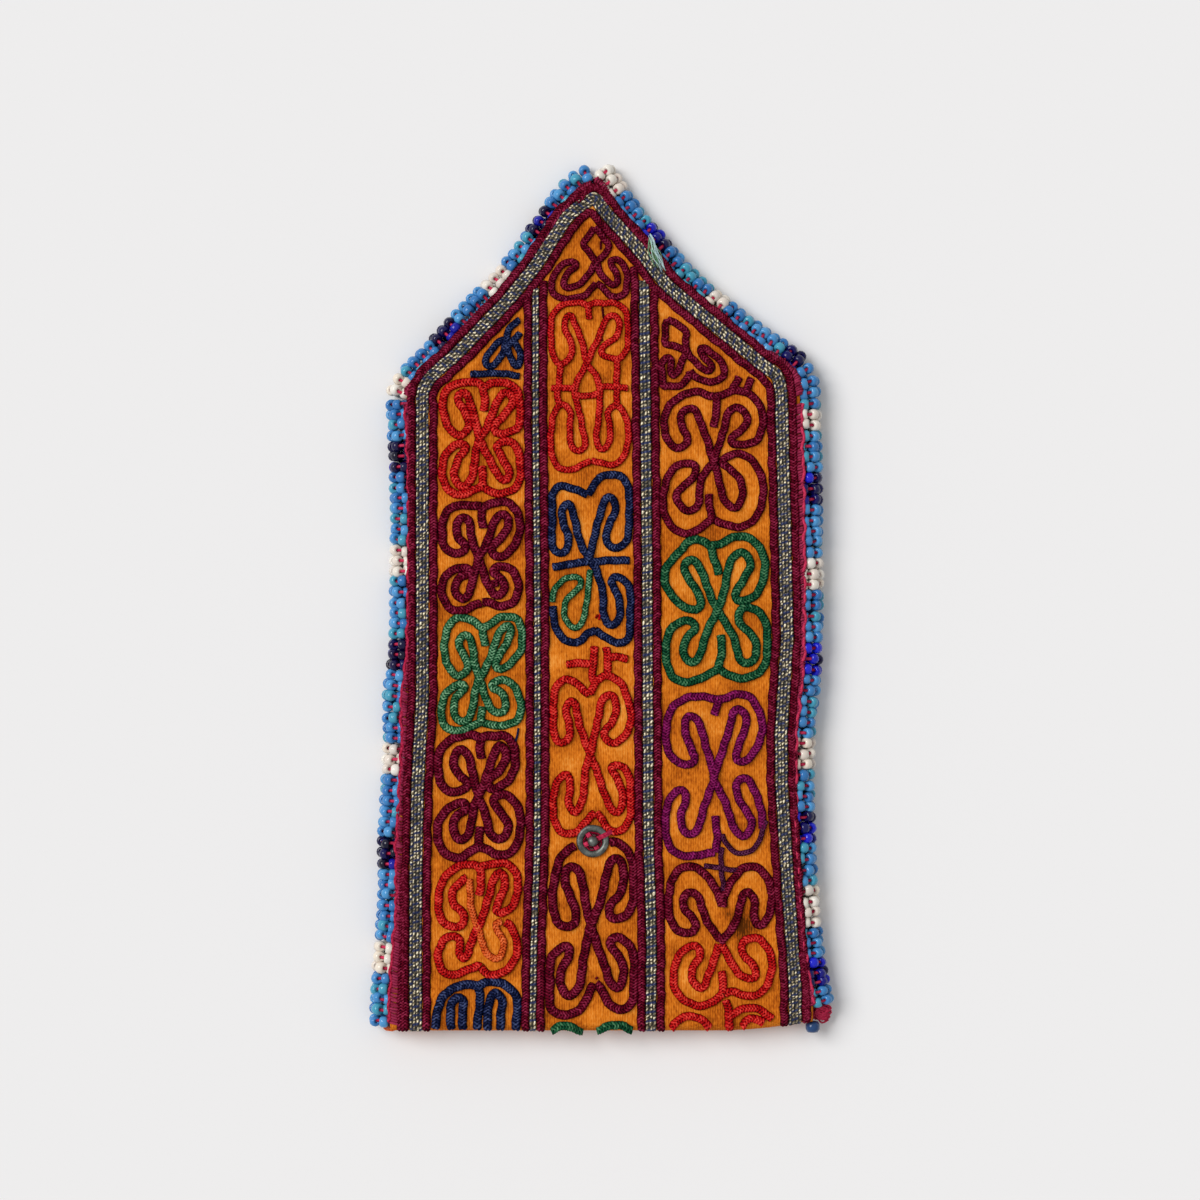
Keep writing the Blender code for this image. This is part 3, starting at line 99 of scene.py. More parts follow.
# The colour of each run of beads, with the y where it ends
SIDE_RUNS_LEFT = [(-79.1, "turquoise"), (-71.5, "white"), (-57.6, "turquoise"), (-50.3, "cobalt"),
                  (-36.4, "turquoise"), (-29.9, "white"), (-15.4, "turquoise"), (-9.1, "cobalt"),
                  (3.9, "turquoise"), (10.6, "white"), (27, "turquoise"), (32.9, "cobalt"), (99, "turquoise")]
SIDE_RUNS_RIGHT = [(-81.4, "turquoise"), (-74.9, "royal"), (-68.1, "turquoise"), (-60.6, "white"),
                   (-50.7, "turquoise"), (-43.8, "royal"), (-34.8, "turquoise"), (-28.2, "white"),
                   (-15.2, "turquoise"), (-8.7, "royal"), (2.4, "turquoise"), (8.5, "white"),
                   (18.8, "turquoise"), (25.3, "royal"), (33.9, "turquoise"), (40.2, "white"),
                   (99, "turquoise")]
FLAP_RUNS_LEFT = [(46.0, "white"), (51.9, "turquoise"), (57.4, "cobalt"), (62.6, "turquoise"),
                  (67.8, "white"), (75.6, "turquoise"), (80.2, "cobalt"), (99, "turquoise")]
FLAP_RUNS_RIGHT = [(47.2, "turquoise"), (50.6, "royal"), (59.3, "turquoise"), (62.3, "white"),
                   (72.4, "turquoise"), (77.1, "royal"), (83.4, "turquoise"), (99, "white")]

# Stitched lines and metal bands, traced over the solids
LINE_HALF_WIDTH = 0.93
LINE_HEIGHT = 0.85
LINE_PITCH = 0.6
LINE_OVERLAP = 0.07
FOOT_DEPTH = 0.15
STEPS_A_STITCH = 5
STITCH_LEAN = 0.6
LEG_LAG = 0.35
GROOVE_WIDTH = 0.2
METAL_HEIGHT = 0.62
COLUMN_WIDTH = 0.7
METAL_PITCH = 0.85
METAL_STEPS = 5
PLACES_A_COLUMN = 6
TICK_PITCH = 1.9
OUTER_METAL_HALF = 1.4
LEFT_METAL_HALF = 0.74
RIGHT_METAL_HALF = 1.15
OUTER_BAND = [(-38.5, -89.95), (-38.5, -60), (-38.1, -40), (-37.1, -20), (-37.1, 43), (-35.8, 45.5),
              (-30.2, 50.5), (-24.3, 56.6), (-19, 62.2), (-13.6, 69), (-7.1, 79.2), (-3.8, 82), (-1.3, 83.2),
              (1.2, 80), (8.1, 72.3), (13.6, 65.1), (23, 57.2), (33.6, 48.4), (36.8, 46), (37.5, 43),
              (38.3, 10), (38.7, -8), (37.5, -28), (37.6, -40), (38.9, -60), (40.3, -80), (40.4, -89.95)]
# The band's points along the two sides, upwards
OUTER_BAND_LEFT = OUTER_BAND[:6]
OUTER_BAND_RIGHT = OUTER_BAND[:17:-1]
BAND_SPACING = 2.2
DIVIDER_SPACING = 3
LEFT_DIVIDER = [(-14.2, -89.95), (-13.9, -70), (-13.2, -50), (-13.2, 0), (-13.6, 40), (-13.6, 70)]
RIGHT_DIVIDER = [(10.4, -89.95), (10.5, -70), (9.9, -50), (9.6, 10), (9.0, 66), (9.0, 70)]
SECOND_ROWS = {"left": [(-41.7, -89.95), (-41.5, -76), (-41.2, -66), (-41.1, -57)],
               "right": [(43.0, -89.6), (42.6, -82), (41.7, -74)],
               "tip": [(-5.0, 82.4), (-2.8, 84.7), (-1.2, 85.5), (0.4, 84.2), (2.0, 82.0)]}
LINE_TOPS = {"maroon_line_1": 62.4, "metal_band_left": 64.4, "maroon_line_2": 66.0, "maroon_line_3": 69.0,
             "metal_band_right": 66.0, "maroon_line_4": 64.0}

# Motifs
STROKE_SPREAD = (1.0, 1.03)
STRAND_HEIGHT = 0.95
STRAND_PITCH = 0.64
LEFT_ROWS = [59.0, 45.2, 20.4, -3.5, -28.2, -54.8, -79.2, -90.0]
MIDDLE_ROWS = [78.0, 61.7, 26.0, -9.6, -49.8, -87.2, -90.6]
RIGHT_ROWS = [58.6, 43.5, 13.1, -18.9, -55.0, -85.4, -90.0]
CELL_MARGIN = 1.8
BAND_ROOM = 1.25
LEFT_ROOM = 0.6
RIGHT_ROOM = 1.0
CROSSING_RISE = 0.4

# Press stud
STUD_PLACE = (-1.7, -50.6)
STUD_SIDES = 72
SOCKET_Y = 80.9

# View and light, in metres and degrees
LENS = 100
SENSOR = 36
VIEW_WIDTH = 0.252
VIEW_CENTRE = (-0.0002, -0.0005)
SUN_FROM = (-0.8, 0.42, 1.0)
SUN_ANGLE = 36
SUN_STRENGTH = 2.2
SKY = 0.49
FLOOR_REACH = 6.0

# Each motif: its name, the solids it stands for, its column and row, its thread, the half width of its
# strands in millimetres, and its strands, traced in hundredths of its cell's half width and height
MOTIFS = [
    ("left_1_leaf", ("left_motif_1", "left_motif_1_bar"), "left", 1, "navy_thread", 0.8, [
        [(90, 80), (80, 74), (68, 62), (60, 46), (56, 26), (54, 4), (47, -18), (36, -38), (22, -53),
         (9, -54), (3, -42), (10, -22), (24, -2), (38, 14), (52, 24)],
        [(90, 44), (84, 33), (74, 20), (62, 4), (63, -14), (68, -34), (76, -52), (85, -55), (91, -43),
         (91, -26), (86, -8), (76, 16)],
        [(-34, -80), (0, -77), (30, -78), (60, -80), (90, -84)]]),
    ("left_2_butterfly", ("left_motif_2",), "left", 2, "red_thread", 0.95, [
        [(6, 85), (-6, 92), (-25, 94), (-45, 93), (-66, 88), (-80, 77), (-87, 62), (-86, 45), (-79, 28),
         (-67, 15), (-50, 8), (-34, 12), (-27, 24), (-31, 36), (-41, 50), (-50, 62), (-50, 72), (-40, 76),
         (-29, 69), (-21, 55), (-15, 38), (-10, 20), (-2, 2), (8, -14), (17, -28), (26, -41), (36, -53),
         (47, -62), (59, -64), (66, -56), (62, -45), (53, -34), (43, -22), (37, -12), (45, -5), (60, -3),
         (76, -8), (87, -20), (91, -38), (91, -55), (86, -70), (74, -81), (55, -87), (35, -87), (18, -82),
         (7, -75)],
        [(8, 85), (24, 92), (42, 94), (62, 91), (78, 84), (88, 70), (91, 52), (90, 34), (83, 20), (68, 13),
         (50, 9), (35, 12), (33, 22), (44, 32), (56, 42), (67, 53), (73, 64), (68, 74), (55, 77), (44, 70),
         (36, 58), (28, 44), (19, 30), (10, 16), (-2, 2), (-8, -12), (-13, -26), (-16, -42), (-19, -58),
         (-27, -71), (-40, -76), (-53, -71), (-60, -57), (-58, -42), (-50, -28), (-39, -19), (-34, -11),
         (-42, -6), (-56, -8), (-71, -16), (-83, -29), (-89, -47), (-87, -64), (-77, -77), (-60, -88),
         (-44, -89), (-28, -87), (-12, -80), (5, -75)],
        [(7, 84), (9, 64), (7, 46)],
        [(6, -75), (5, -58), (3, -42)]]),
    ("left_3_butterfly", ("left_motif_3",), "left", 3, "maroon_thread", 0.98, [
        [(0, 85), (-18, 87), (-40, 88), (-62, 85), (-78, 75), (-87, 60), (-89, 42), (-86, 24), (-77, 12),
         (-61, 7), (-45, 7), (-36, 14), (-41, 24), (-52, 32), (-57, 45), (-53, 58), (-42, 66), (-30, 61),
         (-24, 48), (-21, 32), (-16, 16), (-8, 0), (-1, -12), (6, -27), (12, -42), (20, -55), (32, -64),
         (44, -63), (51, -52), (48, -40), (38, -32), (28, -26), (33, -19), (47, -16), (62, -18), (75, -27),
         (82, -42), (83, -57), (78, -71), (66, -80), (48, -83), (30, -80), (14, -76), (2, -77)],
        [(2, 85), (14, 87), (30, 91), (48, 93), (64, 91), (77, 81), (85, 66), (87, 48), (83, 32), (73, 17),
         (58, 6), (42, 1), (28, 4), (24, 14), (31, 24), (43, 31), (53, 40), (61, 52), (61, 63), (52, 70),
         (40, 69), (30, 60), (22, 46), (15, 30), (8, 16), (-2, 4), (-9, -8), (-14, -22), (-19, -36),
         (-22, -50), (-28, -62), (-40, -70), (-53, -66), (-60, -54), (-57, -42), (-47, -34), (-34, -30),
         (-26, -24), (-34, -18), (-50, -19), (-67, -24), (-81, -34), (-90, -50), (-89, -64), (-81, -77),
         (-68, -87), (-52, -91), (-34, -89), (-18, -83), (0, -77)],
        [(1, 85), (2, 66), (4, 48)],
        [(29, -38), (30, -51)]]),
    ("left_4_butterfly", ("left_motif_4",), "left", 4, "sage_thread", 0.92, [
        [(3, 75), (-5, 79), (-18, 86), (-35, 91), (-52, 91), (-67, 85), (-78, 72), (-83, 55), (-83, 38),
         (-79, 20), (-70, 6), (-58, -2), (-45, -2), (-34, 6), (-33, 20), (-40, 32), (-48, 42), (-50, 55),
         (-42, 63), (-31, 62), (-23, 53), (-20, 40), (-17, 25), (-12, 10), (-6, -4), (0, -18), (5, -31),
         (12, -43), (20, -54), (31, -62), (43, -64), (53, -58), (55, -47), (49, -36), (38, -28), (27, -23),
         (25, -16), (37, -12), (54, -11), (70, -17), (81, -29), (87, -45), (88, -60), (83, -72), (72, -80),
         (52, -84), (30, -84), (12, -81), (-1, -78)],
        [(5, 75), (14, 79), (25, 85), (39, 91), (55, 93), (71, 92), (84, 86), (91, 73), (91, 58), (90, 44),
         (83, 32), (72, 22), (60, 13), (46, 8), (35, 11), (34, 21), (41, 31), (50, 43), (59, 55), (66, 67),
         (64, 77), (54, 78), (43, 69), (34, 56), (27, 42), (20, 28), (12, 14), (4, 0), (-6, -10),
         (-13, -22), (-17, -38), (-19, -54), (-25, -68), (-37, -77), (-50, -76), (-60, -66), (-63, -52),
         (-58, -39), (-47, -30), (-37, -24), (-42, -17), (-56, -19), (-71, -26), (-83, -37), (-90, -52),
         (-91, -67), (-86, -80), (-74, -89), (-58, -93), (-40, -92), (-24, -87), (-10, -81), (-2, -78)],
        [(4, 75), (5, 60), (8, 45)],
        [(-1, -78), (-1, -66), (1, -53)]]),
    ("left_5_butterfly", ("left_motif_5",), "left", 5, "maroon_thread", 1.02, [
        [(2, 90), (-8, 93), (-25, 94), (-45, 92), (-62, 87), (-76, 77), (-85, 64), (-88, 48), (-86, 32),
         (-78, 18), (-66, 10), (-50, 8), (-36, 10), (-26, 17), (-29, 26), (-41, 32), (-51, 42), (-54, 55),
         (-48, 67), (-36, 72), (-24, 65), (-18, 52), (-15, 38), (-10, 24), (-4, 10), (2, -4), (8, -16),
         (14, -28), (19, -42), (25, -55), (36, -63), (50, -62), (61, -54), (62, -43), (55, -33), (45, -23),
         (36, -13), (32, -4), (40, 3), (55, 4), (69, -1), (80, -12), (87, -27), (89, -44), (86, -60),
         (79, -73), (66, -83), (50, -88), (33, -86), (18, -80), (0, -74)],
        [(4, 90), (18, 93), (34, 93), (50, 94), (64, 88), (74, 76), (78, 60), (76, 44), (66, 30), (52, 20),
         (36, 13), (22, 14), (20, 24), (31, 32), (43, 40), (53, 52), (57, 65), (53, 75), (43, 78), (34, 70),
         (28, 57), (22, 43), (14, 28), (6, 13), (-2, 0), (-9, -13), (-14, -27), (-18, -42), (-23, -56),
         (-34, -65), (-46, -62), (-54, -50), (-53, -37), (-45, -26), (-33, -21), (-28, -14), (-35, -9),
         (-50, -10), (-67, -18), (-80, -30), (-88, -44), (-89, -60), (-84, -73), (-72, -84), (-55, -91),
         (-40, -92), (-26, -87), (-12, -79), (-2, -74)],
        [(3, 90), (3, 75), (4, 58)],
        [(-1, -74), (0, -58), (1, -44)]]),
    ("left_6_butterfly", ("left_motif_6",), "left", 6, "red_thread", 0.95, [
        [(3, 88), (-10, 91), (-28, 92), (-45, 87), (-60, 77), (-72, 65), (-80, 50), (-83, 32), (-81, 15),
         (-76, 2), (-66, -7), (-52, -12), (-38, -11), (-28, -3), (-29, 8), (-38, 17), (-48, 25), (-53, 37),
         (-49, 50), (-40, 59), (-29, 67), (-21, 70)],
        [(60, -4), (72, -9), (81, -20), (86, -36), (87, -52), (81, -67), (71, -79), (56, -87), (38, -90),
         (20, -88), (8, -78)],
        [(6, 88), (20, 90), (35, 93), (52, 94), (68, 91), (80, 82), (88, 70), (90, 56), (87, 42), (80, 28),
         (68, 17), (54, 11), (43, 15), (43, 24), (50, 34), (57, 46), (61, 58), (59, 70), (50, 77), (40, 72),
         (33, 60), (28, 46), (23, 30), (17, 14), (10, 0), (2, -12), (-6, -26), (-13, -42), (-18, -54),
         (-28, -63), (-37, -56), (-36, -43), (-40, -32), (-52, -27), (-66, -30), (-77, -40), (-83, -54),
         (-82, -68), (-75, -82), (-62, -91), (-45, -91), (-30, -86), (-14, -80), (2, -76), (7, -78)],
        [(6, 88), (10, 70), (8, 54), (4, 40)]]),
    ("left_6_orange_strand", ("left_motif_6_orange_upper", "left_motif_6_orange_lower"), "left", 6,
     "orange_red_thread", 0.8, [
        [(-17, 68), (-15, 52), (-13, 34), (-11, 18), (-6, 4), (0, -10), (7, -22), (12, -36), (18, -50),
         (27, -60), (39, -65), (51, -60), (57, -48), (57, -36), (52, -25), (44, -16), (42, -7), (55, -3)]]),
    ("left_7_butterfly", ("left_motif_7",), "left", 7, "navy_thread", 1.0, [
        [(-88, -88), (-87, -50), (-83, -10), (-74, 25), (-60, 48), (-42, 65), (-22, 76), (4, 72), (20, 80),
         (38, 85), (56, 80), (74, 62), (86, 35), (91, 0), (90, -45), (87, -92)],
        [(5, 72), (8, 40), (8, 0), (6, -40), (2, -90)],
        [(-54, -90), (-57, -50), (-56, -15), (-50, 12), (-39, 25), (-29, 12), (-28, -20), (-30, -60),
         (-29, -90)],
        [(27, -92), (26, -50), (27, -10), (32, 25), (43, 42), (54, 26), (57, 0), (55, -40), (54, -92)]]),
    ("middle_1_spade", ("middle_motif_1",), "middle", 1, "maroon_thread", 0.8, [
        [(13, 86), (2, 70), (-9, 52), (-11, 42), (-4, 30), (7, 14), (18, 0), (24, -18), (34, -36),
         (47, -50), (60, -57), (70, -49), (68, -36), (61, -21), (54, -8), (52, 3), (63, 7), (75, 0),
         (85, -13), (91, -30), (92, -50), (90, -68), (82, -80), (69, -86), (53, -83), (40, -73), (28, -60),
         (17, -52)],
        [(13, 86), (26, 74), (37, 59), (46, 44), (45, 32), (37, 19), (27, 9), (18, 0), (10, -14), (1, -28),
         (-9, -41), (-22, -53), (-38, -62), (-52, -64), (-61, -54), (-58, -39), (-47, -25), (-34, -14),
         (-32, -3), (-44, 1), (-60, -6), (-74, -18), (-84, -34), (-90, -52), (-88, -70), (-78, -83),
         (-63, -90), (-44, -91), (-25, -89), (-8, -81), (4, -68), (17, -52)]]),
    ("middle_2_butterfly", ("middle_motif_2",), "middle", 2, "red_thread", 0.76, [
        [(-4, 92), (-24, 95), (-50, 95), (-70, 91), (-84, 83), (-90, 72), (-91, 56), (-88, 42), (-81, 31),
         (-68, 26), (-52, 29), (-43, 36), (-41, 45), (-48, 54), (-56, 63), (-58, 73), (-50, 80), (-41, 79),
         (-33, 71), (-25, 61), (-18, 50), (-12, 38), (-5, 26), (6, 19), (15, 12), (21, 4), (25, -6),
         (25, -18), (22, -30), (19, -44), (17, -58), (22, -68), (33, -71), (44, -66), (49, -54), (46, -42),
         (44, -31), (51, -24), (62, -22), (75, -25), (86, -34), (91, -48), (90, -63), (84, -76), (70, -85),
         (50, -88), (26, -86), (4, -84)],
        [(-3, 92), (14, 95), (34, 95), (56, 95), (74, 91), (87, 83), (91, 71), (91, 57), (88, 44), (79, 35),
         (64, 31), (44, 33), (30, 38), (32, 45), (46, 50), (60, 56), (70, 65), (70, 74), (60, 81), (46, 79),
         (34, 71), (26, 61), (17, 52), (8, 43), (1, 34), (-6, 26), (-18, 17), (-28, 8), (-34, -2),
         (-32, -13), (-26, -26), (-20, -39), (-14, -52), (-9, -64), (-17, -70), (-30, -72), (-41, -68),
         (-47, -57), (-46, -44), (-44, -32), (-50, -24), (-62, -21), (-77, -25), (-87, -36), (-91, -52),
         (-90, -68), (-86, -82), (-74, -91), (-56, -94), (-34, -92), (-14, -88), (4, -84)],
        [(-69, 26), (-71, 12), (-73, -2), (-76, -12), (-70, -21)],
        [(65, 31), (65, 14), (64, -4), (63, -22)],
        [(-91, -1), (-70, -2), (-48, -2), (-34, -3)],
        [(24, -1), (46, 1), (66, -1), (91, -2)],
        [(-31, -9), (-15, -11), (5, -10), (25, -7)],
        [(-4, 92), (-2, 83), (-1, 76)]]),
    ("middle_3_butterfly", ("middle_motif_3",), "middle", 3, "navy_thread", 0.9, [
        [(-8, 72), (-25, 75), (-45, 79), (-65, 82), (-82, 80), (-90, 71), (-91, 58), (-92, 42), (-92, 28),
         (-91, 16), (-84, 8), (-73, 5), (-61, 8), (-54, 15), (-55, 25), (-62, 35), (-67, 46), (-67, 55),
         (-60, 61), (-50, 61), (-43, 52), (-38, 41), (-33, 30), (-26, 20), (-18, 10), (-10, 3), (-4, -3),
         (8, -10), (16, -18), (22, -27), (27, -39), (28, -52), (31, -65), (38, -73), (51, -76), (63, -72),
         (68, -62), (66, -51), (61, -41), (54, -33), (48, -27), (55, -22), (68, -22), (81, -26), (90, -34),
         (92, -47), (92, -61), (92, -76), (88, -88), (78, -95), (64, -96), (48, -94), (33, -90), (20, -85),
         (8, -81)],
        [(-8, 72), (1, 78), (9, 86), (20, 91), (38, 94), (58, 94), (75, 91), (86, 83), (89, 70), (89, 55),
         (90, 40), (87, 27), (78, 17), (62, 12), (45, 13), (36, 19), (37, 29), (44, 39), (52, 48), (57, 57),
         (53, 65), (42, 69), (31, 66), (26, 58), (21, 48), (14, 37), (8, 26), (2, 14), (-4, -3)],
        [(-91, -54), (-88, -66), (-83, -77), (-74, -87), (-58, -94), (-40, -96), (-22, -92), (-8, -85),
         (12, -82)],
        [(-91, -11), (-62, -8), (-34, -5), (-5, -4)],
        [(2, -5), (50, -2), (91, -3)]]),
    ("middle_3_green_strand", ("middle_motif_3_green",), "middle", 3, "sage_thread", 0.72, [
        [(0, -13), (-5, -25), (-8, -38), (-10, -50), (-14, -61), (-21, -72), (-34, -78), (-48, -77),
         (-59, -71), (-64, -62), (-61, -52), (-51, -44), (-38, -38), (-27, -32), (-27, -25), (-38, -21),
         (-54, -22), (-70, -26), (-83, -34), (-90, -44), (-91, -50)]]),
    ("middle_4_butterfly", ("middle_motif_4",), "middle", 4, "red_thread", 0.9, [
        [(5, 95), (4, 84), (3, 72), (3, 62), (8, 55)],
        [(33, 94), (36, 84), (37, 74), (35, 66)],
        [(-60, 76), (-45, 77), (-22, 78), (2, 77)],
        [(38, 83), (60, 84), (85, 82)],
        [(-5, 46), (-20, 50), (-35, 57), (-50, 61), (-65, 61), (-80, 56), (-87, 46), (-90, 34), (-90, 20),
         (-88, 8), (-80, 0), (-70, -3), (-58, 0), (-51, 7), (-54, 16), (-59, 26), (-58, 34), (-48, 39),
         (-38, 35), (-33, 26), (-29, 16), (-22, 6), (-13, -4), (-3, -14), (5, -24), (14, -34), (23, -45),
         (32, -56), (41, -66), (51, -72), (63, -71), (71, -63), (71, -52), (65, -43), (55, -35), (46, -29),
         (49, -25), (62, -25), (77, -29), (87, -37), (91, -49), (91, -61), (90, -74), (83, -84), (70, -90),
         (54, -92), (38, -88), (25, -80), (10, -72)],
        [(-5, 46), (4, 54), (14, 61), (28, 65), (44, 64), (60, 60), (74, 53), (84, 42), (90, 30), (90, 18),
         (84, 9), (72, 2), (56, -2), (40, -1), (29, 5), (34, 12), (46, 18), (55, 26), (58, 35), (52, 43),
         (40, 45), (27, 42), (20, 34), (15, 24), (10, 12), (4, 0), (-3, -12), (-11, -24), (-16, -36),
         (-19, -50), (-24, -62), (-34, -71), (-46, -71), (-53, -62), (-51, -50), (-52, -41), (-59, -35),
         (-70, -36), (-82, -42), (-89, -54), (-90, -68), (-88, -80), (-78, -89), (-62, -93), (-46, -93),
         (-30, -90), (-15, -83), (-2, -76), (8, -72)]]),
    ("middle_5_butterfly", ("middle_motif_5",), "middle", 5, "maroon_thread", 1.02, [
        [(-36, 88), (-50, 84), (-65, 76), (-76, 64), (-82, 50), (-85, 35), (-84, 20), (-78, 8), (-65, 2),
         (-50, 1), (-37, 6), (-34, 15), (-41, 26), (-50, 36), (-57, 46), (-58, 56), (-51, 63), (-40, 65),
         (-28, 61), (-22, 51), (-18, 39), (-14, 27), (-8, 15), (-3, 4), (3, -7), (12, -19), (20, -31),
         (28, -43), (36, -54), (46, -63), (58, -65), (67, -58), (70, -48), (65, -38), (56, -31), (47, -24),
         (41, -17), (48, -12), (62, -12), (78, -17), (88, -26), (92, -40), (92, -56), (91, -70), (87, -80),
         (76, -87), (58, -89), (42, -85), (30, -76), (20, -66), (8, -61)],
        [(38, 91), (50, 92), (65, 89), (78, 81), (87, 71), (91, 58), (91, 44), (89, 30), (83, 18), (70, 11),
         (55, 9), (42, 12), (38, 20), (45, 27), (56, 33), (66, 42), (70, 54), (67, 65), (58, 73), (46, 73),
         (37, 66), (31, 56), (27, 44), (22, 33), (14, 22), (6, 12), (-2, 1), (-8, -9), (-14, -21),
         (-18, -34), (-21, -48), (-26, -60), (-36, -70), (-50, -74), (-62, -70), (-68, -60), (-67, -49),
         (-59, -39), (-51, -31), (-50, -23), (-60, -21), (-75, -25), (-87, -33), (-91, -46), (-92, -60),
         (-92, -74), (-89, -86), (-78, -93), (-62, -95), (-44, -94), (-28, -89), (-14, -80), (-4, -70),
         (6, -61)]]),
    ("middle_6_arcs", ("middle_motif_6_left", "middle_motif_6_right"), "middle", 6, "green_thread", 0.88, [
        [(-86, -60), (-75, -25), (-58, -5), (-45, -10), (-30, -42), (-16, -58)],
        [(12, -60), (25, -30), (42, 5), (58, 12), (70, -8), (80, -36), (90, -54)]]),
    ("right_1_leaf", ("right_motif_1",), "right", 1, "maroon_thread", 0.84, [
        [(-84, 88), (-68, 77), (-55, 65), (-47, 51), (-47, 30), (-47, 10), (-41, -10), (-31, -26),
         (-18, -41), (-5, -50), (1, -42), (-3, -28), (-12, -13), (-19, 0), (-19, 10), (-10, 10), (0, 0),
         (10, -12), (20, -28), (25, -46), (23, -65), (13, -77), (-2, -80), (-18, -74), (-31, -63),
         (-40, -51)],
        [(-84, 88), (-87, 70), (-87, 45), (-85, 24), (-70, 16), (-55, 8), (-48, 0), (-53, -18), (-57, -36),
         (-64, -54), (-72, -62), (-76, -50), (-75, -32), (-79, -17), (-87, -18), (-93, -32), (-93, -55),
         (-93, -76), (-90, -90), (-81, -91), (-69, -91), (-57, -87), (-47, -75), (-41, -60), (-41, -51)]]),
    ("right_2_butterfly", ("right_motif_2",), "right", 2, "maroon_thread", 0.9, [
        [(2, 86), (-12, 88), (-28, 92), (-42, 92), (-58, 88), (-74, 80), (-86, 68), (-92, 54), (-91, 40),
         (-84, 28), (-74, 20), (-60, 19), (-49, 25), (-50, 34), (-57, 43), (-62, 53), (-60, 62), (-50, 69),
         (-38, 69), (-29, 61), (-23, 50), (-18, 39), (-13, 28), (-8, 16), (-3, 4), (4, -10), (8, -24),
         (13, -38), (20, -51), (30, -60), (42, -61), (50, -52), (52, -38), (48, -25), (38, -15), (26, -8),
         (15, -2), (22, 6), (38, 10), (55, 8), (70, 1), (82, -10), (89, -26), (90, -44), (87, -60),
         (79, -72), (66, -81), (48, -87), (30, -86), (14, -82), (0, -77)],
        [(2, 86), (12, 88), (25, 92), (40, 94), (55, 92), (70, 87), (82, 78), (88, 65), (89, 50), (86, 38),
         (79, 28), (67, 24), (50, 23), (36, 23), (32, 29), (38, 36), (50, 42), (60, 50), (61, 60), (53, 68),
         (40, 71), (28, 66), (22, 56), (18, 44), (14, 32), (8, 18), (2, 8), (-3, -2), (-14, -12),
         (-22, -24), (-27, -38), (-28, -52), (-34, -62), (-46, -66), (-58, -62), (-67, -52), (-67, -42),
         (-58, -34), (-46, -26), (-36, -18), (-33, -8), (-42, -3), (-58, -3), (-74, -10), (-86, -22),
         (-92, -38), (-93, -55), (-90, -72), (-80, -85), (-65, -93), (-48, -95), (-32, -92), (-18, -85),
         (-6, -78), (-1, -77)],
        [(4, 86), (4, 70), (2, 56), (0, 45)],
        [(-2, -77), (-8, -60), (-11, -43)],
        [(33, 94), (39, 103), (46, 113)],
        [(58, 92), (63, 102), (70, 111)]]),
    ("right_3_butterfly", ("right_motif_3",), "right", 3, "green_thread", 0.95, [
        [(-10, 83), (-22, 88), (-38, 91), (-52, 86), (-66, 76), (-80, 66), (-90, 54), (-93, 42), (-90, 30),
         (-80, 20), (-66, 10), (-50, 4), (-36, 2), (-28, 9), (-30, 18), (-38, 28), (-46, 37), (-54, 47),
         (-57, 57), (-52, 64), (-42, 65), (-32, 58), (-25, 47), (-19, 36), (-12, 24), (-5, 12), (3, 1),
         (14, -12), (25, -23), (33, -36), (37, -50), (44, -61), (56, -65), (68, -59), (73, -48), (70, -37),
         (61, -28), (50, -21), (42, -13), (41, -3), (49, 4), (62, 5), (76, 0), (86, -10), (91, -24),
         (92, -40), (91, -56), (86, -68), (76, -77), (60, -83), (42, -84), (24, -80), (10, -75), (4, -72)],
        [(-10, 83), (4, 85), (18, 90), (34, 94), (50, 94), (66, 90), (78, 81), (86, 67), (87, 52), (84, 38),
         (76, 26), (64, 18), (50, 14), (38, 14), (33, 20), (38, 28), (46, 36), (54, 46), (60, 56), (58, 67),
         (48, 74), (36, 73), (27, 65), (22, 54), (18, 40), (13, 26), (8, 12), (1, -1), (-9, -13),
         (-17, -25), (-22, -38), (-27, -50), (-35, -60), (-46, -63), (-56, -58), (-60, -48), (-57, -38),
         (-48, -30), (-39, -23), (-39, -16), (-48, -12), (-62, -13), (-76, -18), (-87, -28), (-90, -43),
         (-90, -58), (-87, -72), (-78, -83), (-62, -88), (-44, -88), (-26, -84), (-10, -78), (3, -72)],
        [(-10, 82), (-4, 68), (1, 56), (4, 46)],
        [(3, -72), (8, -55), (10, -41), (8, -29)]]),
    ("right_4_butterfly", ("right_motif_4",), "right", 4, "purple_thread", 0.92, [
        [(8, 85), (-8, 86), (-25, 88), (-45, 88), (-62, 84), (-78, 76), (-88, 64), (-92, 50), (-91, 38),
         (-86, 26), (-76, 17), (-62, 13), (-48, 12), (-39, 17), (-42, 27), (-49, 38), (-55, 49), (-56, 60),
         (-48, 66), (-36, 64), (-27, 54), (-20, 43), (-15, 31), (-9, 18), (-3, 5), (1, -6), (10, -18),
         (20, -30), (28, -42), (34, -54), (42, -64), (55, -68), (67, -62), (70, -52), (64, -42), (53, -33),
         (44, -23), (41, -13), (48, -5), (60, -4), (72, -12), (82, -24), (88, -38), (91, -52), (91, -60)],
        [(9, 85), (22, 87), (38, 90), (55, 90), (70, 86), (82, 76), (89, 64), (90, 50), (86, 38), (78, 28),
         (66, 20), (52, 15), (42, 19), (43, 29), (50, 39), (57, 49), (61, 59), (56, 69), (46, 74), (36, 70),
         (31, 60), (28, 50), (22, 39), (15, 28), (9, 17), (3, 5), (-1, -6), (-9, -17), (-16, -29),
         (-22, -42), (-28, -54), (-37, -63), (-49, -66), (-60, -60), (-64, -50), (-61, -40), (-55, -31),
         (-54, -23), (-60, -18), (-71, -18), (-82, -24), (-90, -34), (-92, -48), (-92, -61), (-90, -73),
